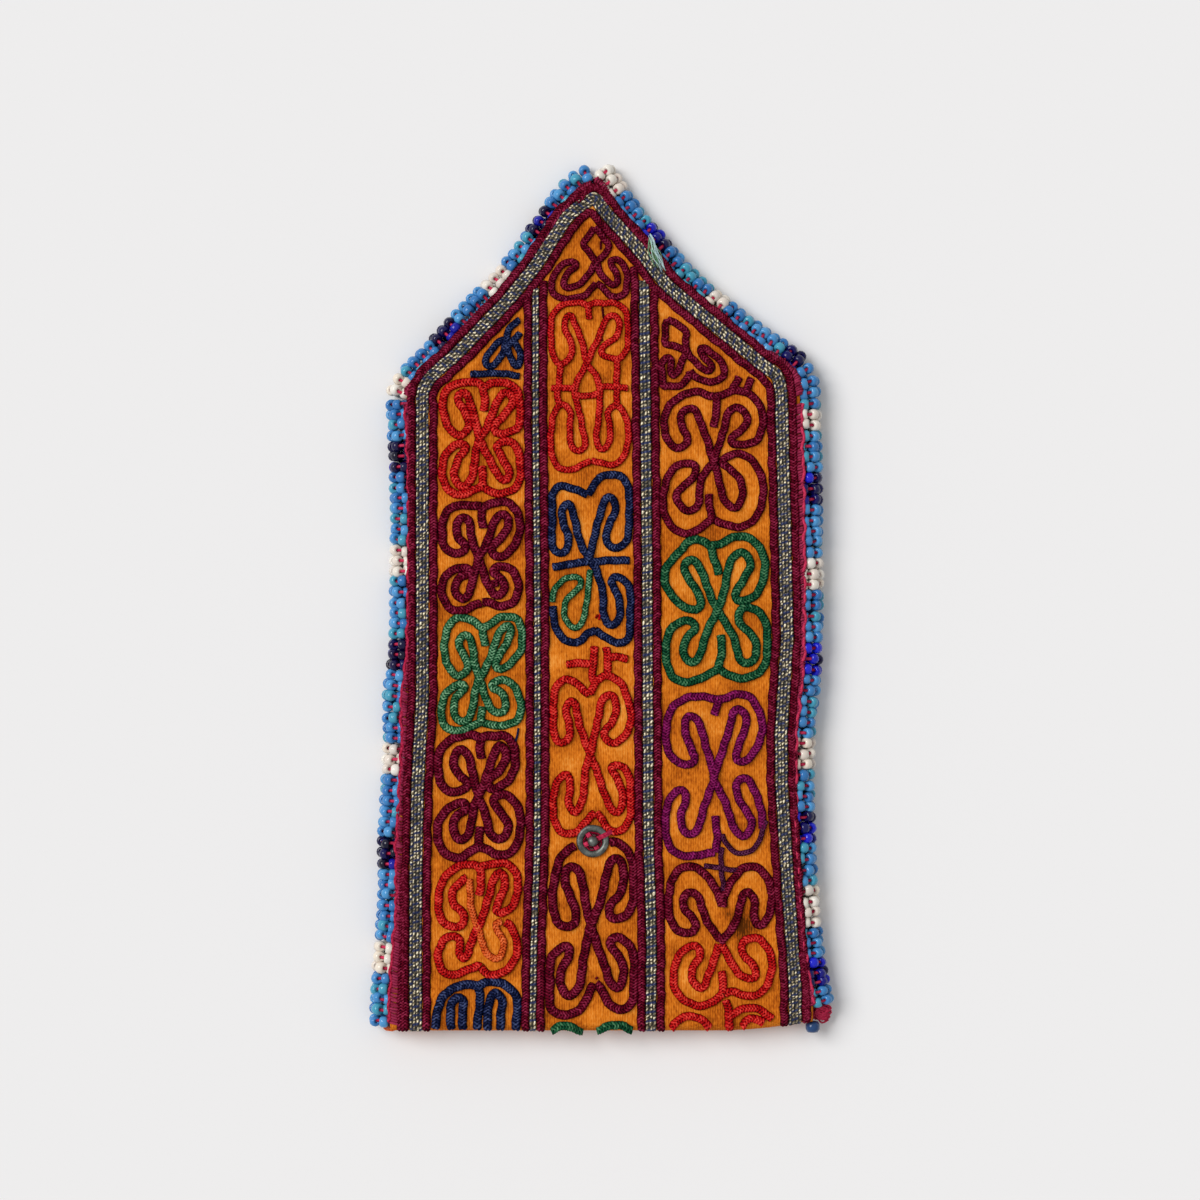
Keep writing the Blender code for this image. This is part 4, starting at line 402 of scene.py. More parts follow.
         (-82, -82), (-68, -88), (-50, -90), (-32, -90), (-16, -88), (1, -86)],
        [(7, 84), (3, 75), (-1, 67)],
        [(2, -86), (5, -72), (4, -58), (2, -45)]]),
    ("right_4_plum_strand", ("right_motif_4_plum",), "right", 4, "plum_thread", 0.6, [
        [(97, -50), (90, -64), (84, -76), (70, -84), (50, -87), (32, -83), (21, -75), (14, -66)],
        [(13, -80), (12, -88), (13, -100), (15, -112), (17, -122), (16, -130)],
        [(-20, -102), (-10, -102), (4, -103), (14, -104)],
        [(14, -104), (28, -105), (48, -106)]]),
    ("right_5_butterfly", ("right_motif_5",), "right", 5, "maroon_thread", 0.95, [
        [(2, 38), (-2, 50), (-12, 65), (-28, 80), (-42, 89), (-58, 92), (-75, 86), (-87, 73), (-93, 55),
         (-93, 37), (-89, 20), (-80, 8), (-66, 3), (-52, 5), (-45, 14), (-53, 25), (-63, 34), (-68, 45),
         (-62, 55), (-50, 57), (-40, 49), (-34, 37), (-28, 25), (-20, 13), (-11, 3), (-2, -6)],
        [(2, 38), (8, 54), (16, 68), (27, 80), (38, 88), (52, 91), (68, 88), (80, 80), (88, 68), (90, 52),
         (89, 38), (85, 24), (76, 15), (65, 15), (60, 24), (60, 36), (58, 49), (49, 57), (39, 53), (35, 42),
         (32, 29), (26, 17), (16, 6), (6, -3), (-2, -10)]]),
    ("right_5_red_half", ("right_motif_5_red",), "right", 5, "red_thread", 0.92, [
        [(2, -10), (8, -22), (16, -34), (26, -45), (38, -54), (50, -58), (61, -56), (63, -47), (55, -38),
         (44, -30), (37, -20), (42, -9), (54, -4), (68, -5), (80, -13), (88, -26), (91, -42), (88, -58),
         (80, -71), (66, -79), (50, -82), (34, -79), (20, -75), (6, -77)],
        [(-3, -12), (-10, -26), (-16, -40), (-22, -54), (-29, -66), (-37, -70), (-46, -64), (-52, -54),
         (-51, -44), (-44, -35), (-37, -27), (-38, -18), (-47, -14), (-60, -17), (-74, -27), (-83, -42),
         (-85, -58), (-80, -73), (-68, -85), (-52, -92), (-36, -94), (-20, -90), (-6, -84), (4, -78)],
        [(4, -77), (4, -61), (1, -47)]]),
    ("right_6_arcs", ("right_motif_6_left", "right_motif_6_right"), "right", 6, "red_thread", 0.92, [
        [(-88, -80), (-82, -40), (-73, 0), (-60, 28), (-45, 22), (-33, -15), (-26, -50), (-22, -75)],
        [(10, -70), (11, -20), (15, 35), (28, 75), (42, 90), (56, 85), (68, 60), (78, 18), (86, -25)],
        [(32, -65), (40, -25), (51, -5), (62, -20), (71, -52)],
        [(5, 171), (9, 110), (11, 50), (12, -90)]])]

# Threads: the painted shade in the hollows, the colour of the plait and the painted highlight on its crests,
# as sRGB bytes
THREADS = {
    "maroon_thread": ((30, 0, 6), (92, 2, 26), (162, 50, 84)),
    "red_thread": ((70, 0, 4), (186, 14, 18), (244, 84, 70)),
    "orange_red_thread": ((120, 24, 4), (212, 84, 32), (244, 136, 80)),
    "green_thread": ((2, 28, 18), (16, 78, 48), (96, 146, 104)),
    "sage_thread": ((0, 34, 20), (38, 96, 60), (150, 196, 154)),
    "navy_thread": ((4, 6, 22), (16, 25, 62), (84, 96, 138)),
    "purple_thread": ((40, 0, 24), (106, 10, 66), (166, 46, 122)),
    "plum_thread": ((24, 4, 16), (70, 20, 50), (118, 62, 96)),
    "crimson_thread": ((60, 0, 14), (142, 12, 44), (214, 62, 98)),
    "pale_green_thread": ((60, 110, 110), (140, 186, 190), (214, 234, 236)),
}


def linear(colour):
    """sRGB bytes as linear values, by the standard curve."""
    share = np.array(colour, float) / 255
    low = share / 12.92
    high = ((share + 0.055) / 1.055) ** 2.4
    return (*np.where(share <= 0.04045, low, high), 1.0)


def surface(name, roughness, metallic=0.0):
    """A material, its node tree and its Principled shader."""
    material = bpy.data.materials.new(name)
    material.use_nodes = True
    tree = material.node_tree
    shader = tree.nodes["Principled BSDF"]
    shader.inputs["Roughness"].default_value = roughness
    shader.inputs["Metallic"].default_value = metallic
    return material, tree, shader


def ramp(tree, source, stops):
    """A colour ramp fed by a value, with stops of (place, sRGB colour)."""
    node = tree.nodes.new("ShaderNodeValToRGB")
    elements = node.color_ramp.elements
    while len(elements) < len(stops):
        elements.new(0.5)
    for element, (place, colour) in zip(elements, stops):
        element.position = place
        element.color = linear(colour)
    tree.links.new(source, node.inputs["Fac"])
    return node.outputs["Color"]


def attribute(tree, name):
    """The value that the mesh holds under this name."""
    node = tree.nodes.new("ShaderNodeAttribute")
    node.attribute_name = name
    return node.outputs["Fac"]


def noise(tree, scale, detail=2.0, stretch=(1, 1, 1)):
    """Noise on the object's own coordinates, stretched along its axes."""
    place = tree.nodes.new("ShaderNodeTexCoord")
    mapping = tree.nodes.new("ShaderNodeMapping")
    mapping.inputs["Scale"].default_value = stretch
    texture = tree.nodes.new("ShaderNodeTexNoise")
    texture.inputs["Scale"].default_value = scale
    texture.inputs["Detail"].default_value = detail
    tree.links.new(place.outputs["Object"], mapping.inputs["Vector"])
    tree.links.new(mapping.outputs["Vector"], texture.inputs["Vector"])
    return texture.outputs["Fac"]


def combine(tree, kind, first, second):
    """Two values joined by a sum, a product or another operation."""
    node = tree.nodes.new("ShaderNodeMath")
    node.operation = kind
    for socket, value in zip(node.inputs, (first, second)):
        if isinstance(value, (int, float)):
            socket.default_value = value
        else:
            tree.links.new(value, socket)
    return node.outputs["Value"]


def bump(tree, shader, height, distance, strength=0.6):
    """A fine relief on the shader from a height value, distance in millimetres."""
    node = tree.nodes.new("ShaderNodeBump")
    node.inputs["Strength"].default_value = strength
    node.inputs["Distance"].default_value = distance * MM
    tree.links.new(height, node.inputs["Height"])
    tree.links.new(node.outputs["Normal"], shader.inputs["Normal"])


def thread_finish(name):
    """Stitched cotton: painted shade in the hollows of the plait, painted highlights on its crests and
    glints, each stitch its own tone.
    """
    dark, middle, light = THREADS[name]
    material, tree, shader = surface(name, 0.7)
    shader.inputs["Specular IOR Level"].default_value = CLOTH_SHINE
    mottle = combine(tree, "MULTIPLY", combine(tree, "SUBTRACT", noise(tree, 2600), 0.5), 0.55)
    tone = combine(tree, "MULTIPLY", combine(tree, "SUBTRACT", attribute(tree, "tint"), 0.5), 0.3)
    level = combine(tree, "ADD", combine(tree, "ADD", attribute(tree, "relief"), mottle), tone)
    # From painted shade in the hollows through the thread's own colour to a painted highlight on the crests.
    colour = ramp(tree, level, [(0.12, dark), (0.46, middle), (0.95, light)])
    tree.links.new(colour, shader.inputs["Base Color"])
    bump(tree, shader, noise(tree, 5200, 1.0), 0.14)
    return material


def metal_finish():
    """Wrapped metal thread, each stitch its own grey or beige, with painted shade in the gaps between
    stitches, a painted highlight on their crests and bars of navy thread across it.
    """
    material, tree, shader = surface("gilt_thread", 0.45, 0.3)
    tone = combine(tree, "MULTIPLY", combine(tree, "SUBTRACT", attribute(tree, "tint"), 0.5), 0.6)
    level = combine(tree, "ADD", combine(tree, "ADD", attribute(tree, "relief"), tone),
                    combine(tree, "MULTIPLY", combine(tree, "SUBTRACT", noise(tree, 3000), 0.55), 1.5))
    # The darkest stops are painted shade between the stitches and the palest a painted highlight on their
    # crests.
    gilt = ramp(tree, level, [(0.1, (14, 14, 18)), (0.4, (60, 54, 44)), (0.7, (112, 100, 76)),
                              (0.9, (170, 152, 114)), (1.0, (240, 230, 200))])
    mix = tree.nodes.new("ShaderNodeMix")
    mix.data_type = "RGBA"
    mix.inputs["B"].default_value = linear((24, 38, 84))
    tree.links.new(attribute(tree, "tick"), mix.inputs["Factor"])
    tree.links.new(gilt, mix.inputs["A"])
    tree.links.new(mix.outputs["Result"], shader.inputs["Base Color"])
    bump(tree, shader, noise(tree, 4200, 1.0), 0.12)
    return material


def cotton_finish(name, groove, rib, painted_highlight):
    """Ribbed cotton: fine ribs along Y with painted shade in their grooves, a crossing weave, large patches
    of painted light and shade for its creases, and stains.
    """
    material, tree, shader = surface(name, 0.85)
    place = tree.nodes.new("ShaderNodeTexCoord")
    wave = tree.nodes.new("ShaderNodeTexWave")
    wave.wave_type = "BANDS"
    wave.bands_direction = "X"
    wave.inputs["Scale"].default_value = 620
    wave.inputs["Distortion"].default_value = 1.6
    wave.inputs["Detail"].default_value = 1.0
    wave.inputs["Detail Scale"].default_value = 0.5
    tree.links.new(place.outputs["Object"], wave.inputs["Vector"])
    weave = noise(tree, 3400, 2.0, (0.75, 0.32, 1))
    # Large patches painted lighter and darker, standing in for the light and shade on the creases.
    painted_crease_shading = noise(tree, 120, 4.0)
    ribs = combine(tree, "ADD", combine(tree, "MULTIPLY", wave.outputs["Fac"], 0.16),
                   combine(tree, "MULTIPLY", weave, 0.84))
    level = combine(tree, "ADD", ribs, combine(tree, "MULTIPLY", combine(tree, "SUBTRACT", painted_crease_shading, 0.5), 1.1))
    level = combine(tree, "SUBTRACT", level, attribute(tree, "stain"))
    # The two groove stops are painted shade and the last stop a painted highlight.
    stops = [(0.0, tuple(value // 2 for value in groove)), (0.3, groove), (0.6, rib), (0.95, painted_highlight)]
    tree.links.new(ramp(tree, level, stops), shader.inputs["Base Color"])
    shader.inputs["Specular IOR Level"].default_value = CLOTH_SHINE
    bump(tree, shader, ribs, 0.2, 0.7)
    return material


def glass_finish():
    """Glossy glass beads, each of the colour that its run has."""
    material, tree, shader = surface("glass_beads", 0.12)
    node = tree.nodes.new("ShaderNodeAttribute")
    node.attribute_name = "bead_colour"
    tree.links.new(node.outputs["Color"], shader.inputs["Base Color"])
    shader.inputs["Specular IOR Level"].default_value = 0.4
    return material


def steel_finish():
    """Dull nickel-plated steel, a little blotched."""
    material, tree, shader = surface("steel", 0.42, 0.7)
    tree.links.new(ramp(tree, noise(tree, 700, 3.0), [(0.3, (56, 60, 58)), (0.7, (126, 130, 124))]),
                   shader.inputs["Base Color"])
    bump(tree, shader, noise(tree, 1800, 2.0), 0.08)
    return material


def spline(points, spacing):
    """A smooth path: each stretch is a cubic through its ends with slopes from the next points,
    then the whole is walked in even steps."""
    p = np.asarray(points, float)
    p = np.vstack([2 * p[:1] - p[1:2], p, 2 * p[-1:] - p[-2:-1]])
    a, b, c, d = (p[start:len(p) - 3 + start, None] for start in range(4))
    t = np.linspace(0, 1, 12, endpoint=False)[None, :, None]
    square = (2 * a - 5 * b + 4 * c - d) * t ** 2
    cube = (3 * b - a - 3 * c + d) * t ** 3
    dense = 0.5 * (2 * b + (c - a) * t + square + cube)
    return even(np.vstack([dense.reshape(-1, p.shape[1]), p[-2:-1]]), spacing)


def even(path, spacing):
    """The path in a whole number of equal steps."""
    path = np.asarray(path, float)
    walked = np.concatenate([[0], np.cumsum(np.linalg.norm(np.diff(path, axis=0), axis=1))])
    places = np.linspace(0, walked[-1], max(int(round(walked[-1] / spacing)), 2) + 1)
    return np.stack([np.interp(places, walked, path[:, axis]) for axis in range(path.shape[1])], axis=1)


def directions(path):
    """Unit steps along a plane path and the unit way to its left."""
    way = np.gradient(path, axis=0)
    way /= np.maximum(np.linalg.norm(way, axis=1, keepdims=True), 1e-9)
    return way, np.stack([-way[:, 1], way[:, 0]], axis=1)


def beside(points, offset):
    """The path of given points moved to its left, mitred at its corners."""
    p = np.asarray(points, float)
    step = np.diff(p, axis=0)
    step /= np.linalg.norm(step, axis=1, keepdims=True)
    side = np.stack([-step[:, 1], step[:, 0]], axis=1)
    before = np.vstack([side[:1], side])
    after = np.vstack([side, side[-1:]])
    middle = before + after
    middle /= np.linalg.norm(middle, axis=1, keepdims=True)
    return p + middle * offset / np.sum(middle * before, axis=1, keepdims=True)


def cloth_edges(y):
    """Left and right x of the cloth: the beads' axis moved in."""
    left = beside(SIDE_AXIS_LEFT + FLAP_AXIS_LEFT, -(BEAD_IN + LAYER_GAP))
    right = beside(SIDE_AXIS_RIGHT + FLAP_AXIS_RIGHT, BEAD_IN + LAYER_GAP)
    return np.interp(y, left[:, 1], left[:, 0]), np.interp(y, right[:, 1], right[:, 0])


def flat_height(x, y):
    """Height of the face without the fold: lower towards its sides and along the flap."""
    left, right = cloth_edges(y)
    share = np.minimum(np.abs(2 * x - left - right) / (right - left), 1)
    drop = SIDE_DROP_RATE * (right - left) * np.maximum(0, (share - FLAT_SHARE) / (1 - FLAT_SHARE))
    fall = FLAP_FALL * np.maximum(0, (y - SHOULDER_Y) / (TIP_Y - SHOULDER_Y))
    return COVER_TOP - drop - fall


def pucker(x, y):
    """Small drawn-in waves of the cotton between the stitches: a sum of crossed sines."""
    wave = np.sin(x / 1.9 + 1.3 * np.sin(y / 5.3)) * np.cos(y / 2.7 + 0.8 * np.sin(x / 4.1))
    return PUCKER * (wave + 0.6 * np.sin(x / 0.9 + y / 3.1) * np.sin(y / 1.6))


def cloth_top(x, y):
    """Height of the cover's face: half the flat height times one plus the oval of the fold."""
    past = np.clip((FOLD_Y - y) / FOLD_DEPTH, 0, 0.98)
    return flat_height(x, y) / 2 * (1 + np.sqrt(1 - past ** 2)) + pucker(x, y) * (1 - past)


def standing(plan, base, up):
    """Points that stand on the cloth by this much: upwards, or outwards where it turns round the fold."""
    past = np.clip((FOLD_Y - plan[..., 1]) / FOLD_DEPTH, 0, 0.98)
    return np.stack([plan[..., 0], plan[..., 1] - up * past, base + up * np.sqrt(1 - past ** 2)], -1)


def settled(points):
    """The points as the worn wallet lies: its lower right corner is drawn up a little."""
    x, y = points[:, 0], points[:, 1]
    corner = np.clip((x - 24) / 18, 0, 1) ** 2 * np.clip((-62 - y) / 28, 0, 1) ** 2
    moved = points.copy()
    moved[:, 1] = y + CORNER_PULL * corner
    return moved


def strip_faces(rows, columns, closed):
    """Triangles between neighbouring rows of a grid, with the last column joined to the first if closed."""
    row = np.arange(rows - 1)[:, None]
    column = np.arange(columns if closed else columns - 1)[None, :]
    after = (column + 1) % columns
    a, b = row * columns + column, row * columns + after
    c, d = (row + 1) * columns + after, (row + 1) * columns + column
    return np.concatenate([np.stack([a, b, c], -1).reshape(-1, 3), np.stack([a, c, d], -1).reshape(-1, 3)])


def tube(rings, **values):
    """A closed body through rings of points, each end drawn to a pole at its middle."""
    rows, columns = rings.shape[:2]
    count = rows * columns
    points = np.vstack([rings.reshape(-1, 3), rings[0].mean(0), rings[-1].mean(0)])
    first = np.arange(columns)
    start = np.stack([np.full(columns, count), (first + 1) % columns, first], -1)
    last = count - columns
    end = np.stack([np.full(columns, count + 1), last + first, last + (first + 1) % columns], -1)
    faces = np.concatenate([strip_faces(rows, columns, True), start, end])
    filled = {name: np.concatenate([np.broadcast_to(value, rings.shape[:2]).ravel(), [0.5, 0.5]])
              for name, value in values.items()}
    return points, faces, filled


def joined(parts):
    """Several bodies as one mesh."""
    sizes = np.cumsum([0] + [len(part[0]) for part in parts[:-1]])
    points = np.vstack([part[0] for part in parts])
    faces = np.concatenate([part[1] + size for part, size in zip(parts, sizes)])
    values = {name: np.concatenate([part[2][name] for part in parts]) for name in parts[0][2]}
    return points, faces, values


def in_painted_shade(body, share):
    """The body with this share of its painted light value, so that its thread shows more of its painted shade
    colour.
    """
    points, faces, values = body
    return points, faces, {**values, "relief": share * values["relief"]}


def piece(name, body, material, slot, *nodes):
    """A smooth shaded object of the body, in millimetres until here, that stands for the nodes."""
    points, faces, values = body
    mesh = bpy.data.meshes.new(name)
    mesh.vertices.add(len(points))
    mesh.vertices.foreach_set("co", (settled(points) * MM).astype(np.float32).ravel())
    mesh.loops.add(faces.size)
    mesh.loops.foreach_set("vertex_index", faces.astype(np.int32).ravel())
    mesh.polygons.add(len(faces))
    mesh.polygons.foreach_set("loop_start", np.arange(0, faces.size, 3, dtype=np.int32))
    mesh.polygons.foreach_set("loop_total", np.full(len(faces), 3, np.int32))
    mesh.update(calc_edges=True)
    mesh.validate()
    for key, value in values.items():
        if value.ndim == 2:
            layer = mesh.color_attributes.new(key, "FLOAT_COLOR", "POINT")
            layer.data.foreach_set("color", value.astype(np.float32).ravel())
        else:
            layer = mesh.attributes.new(key, "FLOAT", "POINT")
            layer.data.foreach_set("value", value.astype(np.float32).ravel())
    mesh.shade_smooth()
    mesh.materials.append(material)
    item = bpy.data.objects.new(name, mesh)
    bpy.context.scene.collection.objects.link(item)
    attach(item, "root")
    if nodes:
        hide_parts(*nodes)
    return item


# Across a chain stitch, from one foot over its two legs to the other foot
CHAIN_ACROSS = np.array([-1, -0.88, -0.62, -0.32, 0, 0.32, 0.62, 0.88, 1])


def chain(points, half_width, height, pitch, lift=None):
    """A row of chain stitch along a path. Across, it is an arch with a groove down the middle, so two legs.
    Along, each leg swells once a stitch, later towards its foot and a third of a stitch later on the left,
    so that the legs lean like a plait. A painted glint, a painted highlight, lies across the groove where one
    loop comes up through the next: a narrow wave along the row that fades off to both sides."""
    path = spline(points, pitch / STEPS_A_STITCH)
    left = directions(path)[1]
    walked = np.arange(len(path)) * pitch / STEPS_A_STITCH
    phase = RANDOM.uniform(0, 6)
    sway = 0.08 * np.sin(walked / 1.3 + phase) + 0.06 * np.sin(walked / 0.55 + 2 * phase)
    path = path + left * sway[:, None]
    t = CHAIN_ACROSS[None, :]
    stitch = walked[:, None] / pitch + STITCH_LEAN * np.abs(t) + LEG_LAG * (t > 0)
    tones = RANDOM.random((int(len(path) / STEPS_A_STITCH) + 4, 2))
    tint = tones[np.floor(stitch).astype(int), (t > 0).astype(int)]
    swell = np.abs(np.sin(np.pi * stitch)) ** 0.7
    groove = np.exp(-(t / GROOVE_WIDTH) ** 2)
    painted_glint = np.abs(np.sin(np.pi * (walked[:, None] / pitch + 0.9 * t))) ** 5
    painted_glint = painted_glint * np.exp(-(t / 0.36) ** 2)
    legs = np.sqrt(np.clip(1 - t ** 2, 0, 1)) * (1 - 0.35 * groove)
    up = height * legs * (0.66 + 0.34 * swell + 0.12 * tint)
    side = half_width * t * (0.9 + 0.06 * swell + 0.06 * tint)
    ends = np.minimum(walked, walked[::-1])[:, None]
    closing = np.clip(ends / (0.4 * pitch) + 0.5, 0, 1)
    base = cloth_top(path[:, 0], path[:, 1])[:, None]
    if lift is not None:
        base = base + lift(path)[:, None]
    xy = path[:, None] + left[:, None] * (side * closing)[..., None]
    foot = np.concatenate([path, base - FOOT_DEPTH], axis=-1)[:, None]
    rings = np.concatenate([standing(xy, base, up * closing), foot], axis=1)[:, ::-1]
    # The value for the thread's colour: painted shade between the stitches and in the groove, a painted
    # highlight on the legs' crests and in the glints.
    relief = np.clip(legs ** 0.6 * (0.66 * swell - 0.02) - 0.22 * groove + (0.4 + 0.45 * tint) * painted_glint, 0, 1)
    foot_value = np.zeros((len(path), 1))
    return tube(rings, relief=np.concatenate([relief, foot_value], 1)[:, ::-1],
                tint=np.concatenate([tint, foot_value + 0.5], 1)[:, ::-1])


def over(others, rise):
    """A lift for a strand where it crosses the paths laid before it."""
    laid = np.vstack([even(path, 0.5) for path in others])

    def lift(path):
        gap = np.sqrt(((path[:, None] - laid[None]) ** 2).sum(-1)).min(1)
        return rise * np.exp(-(gap / 0.9) ** 2)
    return lift


def metal_band(points, half_width):
    """Columns of metal thread, each a run of leaning ovals: an arch across that swells once a stitch along,
    with the stitches shifted from column to column and wandering a little. Across each pair of columns,
    once a tick, lies a short bar of navy thread: the top of a slower wave, shifted from pair to pair
    on the wide band."""
    path = spline(points, METAL_PITCH / METAL_STEPS)
    left = directions(path)[1]
    columns = round(2 * half_width / COLUMN_WIDTH)
    t = np.linspace(-1, 1, PLACES_A_COLUMN * columns + 1)[None, :]
    place = np.clip((t + 1) / 2 * columns, 0, columns - 0.001)
    column = np.floor(place).astype(int)
    middle = np.abs(place - column - 0.5) * 2
    walked = (np.arange(len(path)) * METAL_PITCH / METAL_STEPS)[:, None]
    wander = 0.35 * np.sin(walked / 1.7 + 2.2 * column) + 0.25 * np.sin(walked / 0.61 + column)
    stitch = walked / METAL_PITCH + 0.5 * (place - column) + 0.37 * column + wander + 1
    tones = RANDOM.random((int(len(path) / METAL_STEPS) + 8, 2 * columns + 1))
    tint = tones[np.floor(stitch).astype(int), column + (place - column > 0.5)]
    swell = np.abs(np.sin(np.pi * stitch)) ** 0.8
    shift = 2.3 * np.floor((column + 1) / 2) if columns > 3 else 0
    slow = np.sin(2 * np.pi * walked / TICK_PITCH + 0.9 * np.sin(walked / 5) + shift + 0.5 * place)
    tick = np.clip(5 * (slow - 0.62), 0, 1)
    arch = np.sqrt(np.clip(1.05 - middle ** 2, 0, 1))
    up = METAL_HEIGHT * (0.3 + 0.5 * arch * (0.4 + 0.6 * swell) + 0.25 * tint * arch)
    up = up * np.sqrt(np.clip(1.04 - t ** 10, 0, 1))
    base = cloth_top(path[:, 0], path[:, 1])[:, None]
    xy = path[:, None] + left[:, None] * (half_width * t)[..., None]
    foot = np.concatenate([path, base - FOOT_DEPTH], axis=-1)[:, None]
    rings = np.concatenate([standing(xy, base, up), foot], axis=1)[:, ::-1]
    none = np.zeros((len(path), 1))
    # The value for the gilt colour: a painted highlight on each stitch's crest, painted shade at its ends and
    # sides.
    relief = np.clip(arch * (0.1 + 0.9 * swell), 0, 1)
    values = {"relief": relief, "tint": tint, "tick": tick}
    return tube(rings, **{name: np.concatenate([value, none], 1)[:, ::-1] for name, value in values.items()})


def trimmed(points, top):
    """The upward path of given points, cut off at this y."""
    p = np.asarray(points, float)
    low = p[p[:, 1] < top]
    return np.vstack([low, [np.interp(top, p[:, 1], p[:, 0]), top]])


def make_lines(maroon, metal):
    """The metal bands and the maroon lines beside them."""
    side = OUTER_METAL_HALF - LINE_OVERLAP + LINE_HALF_WIDTH
    band = metal_band(even(OUTER_BAND, BAND_SPACING), OUTER_METAL_HALF)
    piece("outer_metal_band", band, metal, "gilt_thread", "metal_band_outer")
    for name, node, offset in (("outer_border_line", "maroon_border_outer", side),
                               ("inner_border_line", "maroon_border_inner", -side)):
        body = chain(even(beside(OUTER_BAND, offset), BAND_SPACING), LINE_HALF_WIDTH, LINE_HEIGHT, LINE_PITCH)
        piece(name, body, maroon, "maroon_thread", node)
    dividers = (("left", LEFT_DIVIDER, LEFT_METAL_HALF, 1), ("right", RIGHT_DIVIDER, RIGHT_METAL_HALF, 3))
    for name, points, half_width, number in dividers:
        node = f"metal_band_{name}"
        body = metal_band(even(trimmed(points, LINE_TOPS[node]), DIVIDER_SPACING), half_width)
        piece(f"{name}_metal_band", body, metal, "gilt_thread", node)
        for step in (0, 1):
            node = f"maroon_line_{number + step}"
            offset = (half_width - LINE_OVERLAP + LINE_HALF_WIDTH) * (1 - 2 * step)
            path = trimmed(beside(points, offset), LINE_TOPS[node])
            body = chain(even(path, DIVIDER_SPACING), LINE_HALF_WIDTH, LINE_HEIGHT, LINE_PITCH)
            piece(f"maroon_line_stitches_{number + step}", body, maroon, "maroon_thread", node)


def make_second_rows(maroon):
    """The short second rows of chain stitch outside the border line, at the lower corners and the tip."""
    for side, points in SECOND_ROWS.items():
        body = chain(points, LINE_HALF_WIDTH, LINE_HEIGHT, LINE_PITCH)
        piece(f"second_row_{side}", body, maroon, "maroon_thread")


def cell(column, row):
    """Left, right, bottom and top of a motif's cell between the lines."""
    rows = {"left": LEFT_ROWS, "middle": MIDDLE_ROWS, "right": RIGHT_ROWS}[column]
    top, bottom = rows[row - 1], rows[row]
    y = (top + bottom) / 2
    paths = (OUTER_BAND_LEFT, OUTER_BAND_RIGHT, LEFT_DIVIDER, RIGHT_DIVIDER)
    outer_left, outer_right, left, right = (np.array(path) for path in paths)
    band_left = np.interp(y, outer_left[:, 1], outer_left[:, 0]) + BAND_ROOM + CELL_MARGIN
    band_right = np.interp(y, outer_right[:, 1], outer_right[:, 0]) - BAND_ROOM - CELL_MARGIN
    divider_left = np.interp(y, left[:, 1], left[:, 0])
    divider_right = np.interp(y, right[:, 1], right[:, 0])
    if column == "left":
        return band_left, divider_left - LEFT_ROOM - CELL_MARGIN, bottom, top
    if column == "middle":
        return divider_left + LEFT_ROOM + CELL_MARGIN, divider_right - RIGHT_ROOM - CELL_MARGIN, bottom, top
    return divider_right + RIGHT_ROOM + CELL_MARGIN, band_right, bottom, top


def in_cell(stroke, bounds):
    """A traced stroke, in hundredths of the cell's half size, in its place."""
    left, right, bottom, top = bounds
    middle = np.array([(left + right) / 2, (bottom + top) / 2])
    half = np.array([right - left, top - bottom]) / 2
    return middle + np.array(stroke, float) / 100 * STROKE_SPREAD * half


def make_motifs(finishes):
    """The chain-stitched motifs of the three columns."""
    for name, nodes, column, row, thread, half_width, strokes in MOTIFS:
        bounds = cell(column, row)
        paths = [in_cell(stroke, bounds) for stroke in strokes]
        rows = [chain(paths[0], half_width, STRAND_HEIGHT, STRAND_PITCH)]
        rows += [chain(path, half_width, STRAND_HEIGHT, STRAND_PITCH, over(paths[:number], CROSSING_RISE))
                 for number, path in enumerate(paths[1:], start=1)]
        slot = "green_thread" if thread == "sage_thread" else thread
        piece(name, joined(rows), finishes[thread], slot, *nodes)


def bead_shape():
    """One seed bead: an oval turned about its hole, rings from mouth to mouth and back through the hole."""
    around = np.linspace(0, 2 * np.pi, BEAD_SIDES, endpoint=False)
    profile = np.array([(BEAD_HOLE, -0.42), (0.74, -0.5), (1.0, -0.22),
                        (1.0, 0.22), (0.74, 0.5), (BEAD_HOLE, 0.42)])
    profile[:, 1] *= BEAD_LENGTH
    profile[1:5, 0] *= BEAD_RADIUS
    ring = np.stack([np.cos(around), np.sin(around)], axis=-1)
    heights = np.broadcast_to(profile[:, None, 1:], (len(profile), BEAD_SIDES, 1))
    shape = np.concatenate([profile[:, None, :1] * ring[None], heights], -1)
    faces = strip_faces(len(profile) + 1, BEAD_SIDES, True) % (len(profile) * BEAD_SIDES)
    return shape.reshape(-1, 3), faces


BEAD_COLOURS = {
    "turquoise": [(60, 126, 186), (66, 136, 194), (50, 114, 176), (66, 150, 178), (76, 146, 200)],
    "white": [(226, 218, 206), (222, 210, 198), (232, 226, 216), (216, 206, 196), (228, 216, 200)],
    "cobalt": [(8, 4, 52), (10, 8, 74), (16, 8, 60), (6, 4, 36), (20, 24, 150)],
    "royal": [(14, 14, 120), (22, 26, 176), (10, 8, 84), (26, 34, 196), (10, 8, 66)],
}


def bead_rows(points, side, runs):
    """Where each row of beads sits: its middle, its way outward, its half height and its colour."""
    path = even(spline(points, 0.5), BEAD_PITCH)
    way, left = directions(path)
    outward = -left * side
    share = np.clip((path[:, 1] - SHOULDER_Y) / (TIP_Y - SHOULDER_Y), 0, 1)
    half_height = BEAD_HALF_HEIGHT + share * (TIP_HALF_HEIGHT - BEAD_HALF_HEIGHT)
    ends = np.array([end for end, _ in runs])
    names = [runs[index][1] for index in np.searchsorted(ends, path[:, 1])]
    return path, way, outward, half_height, names


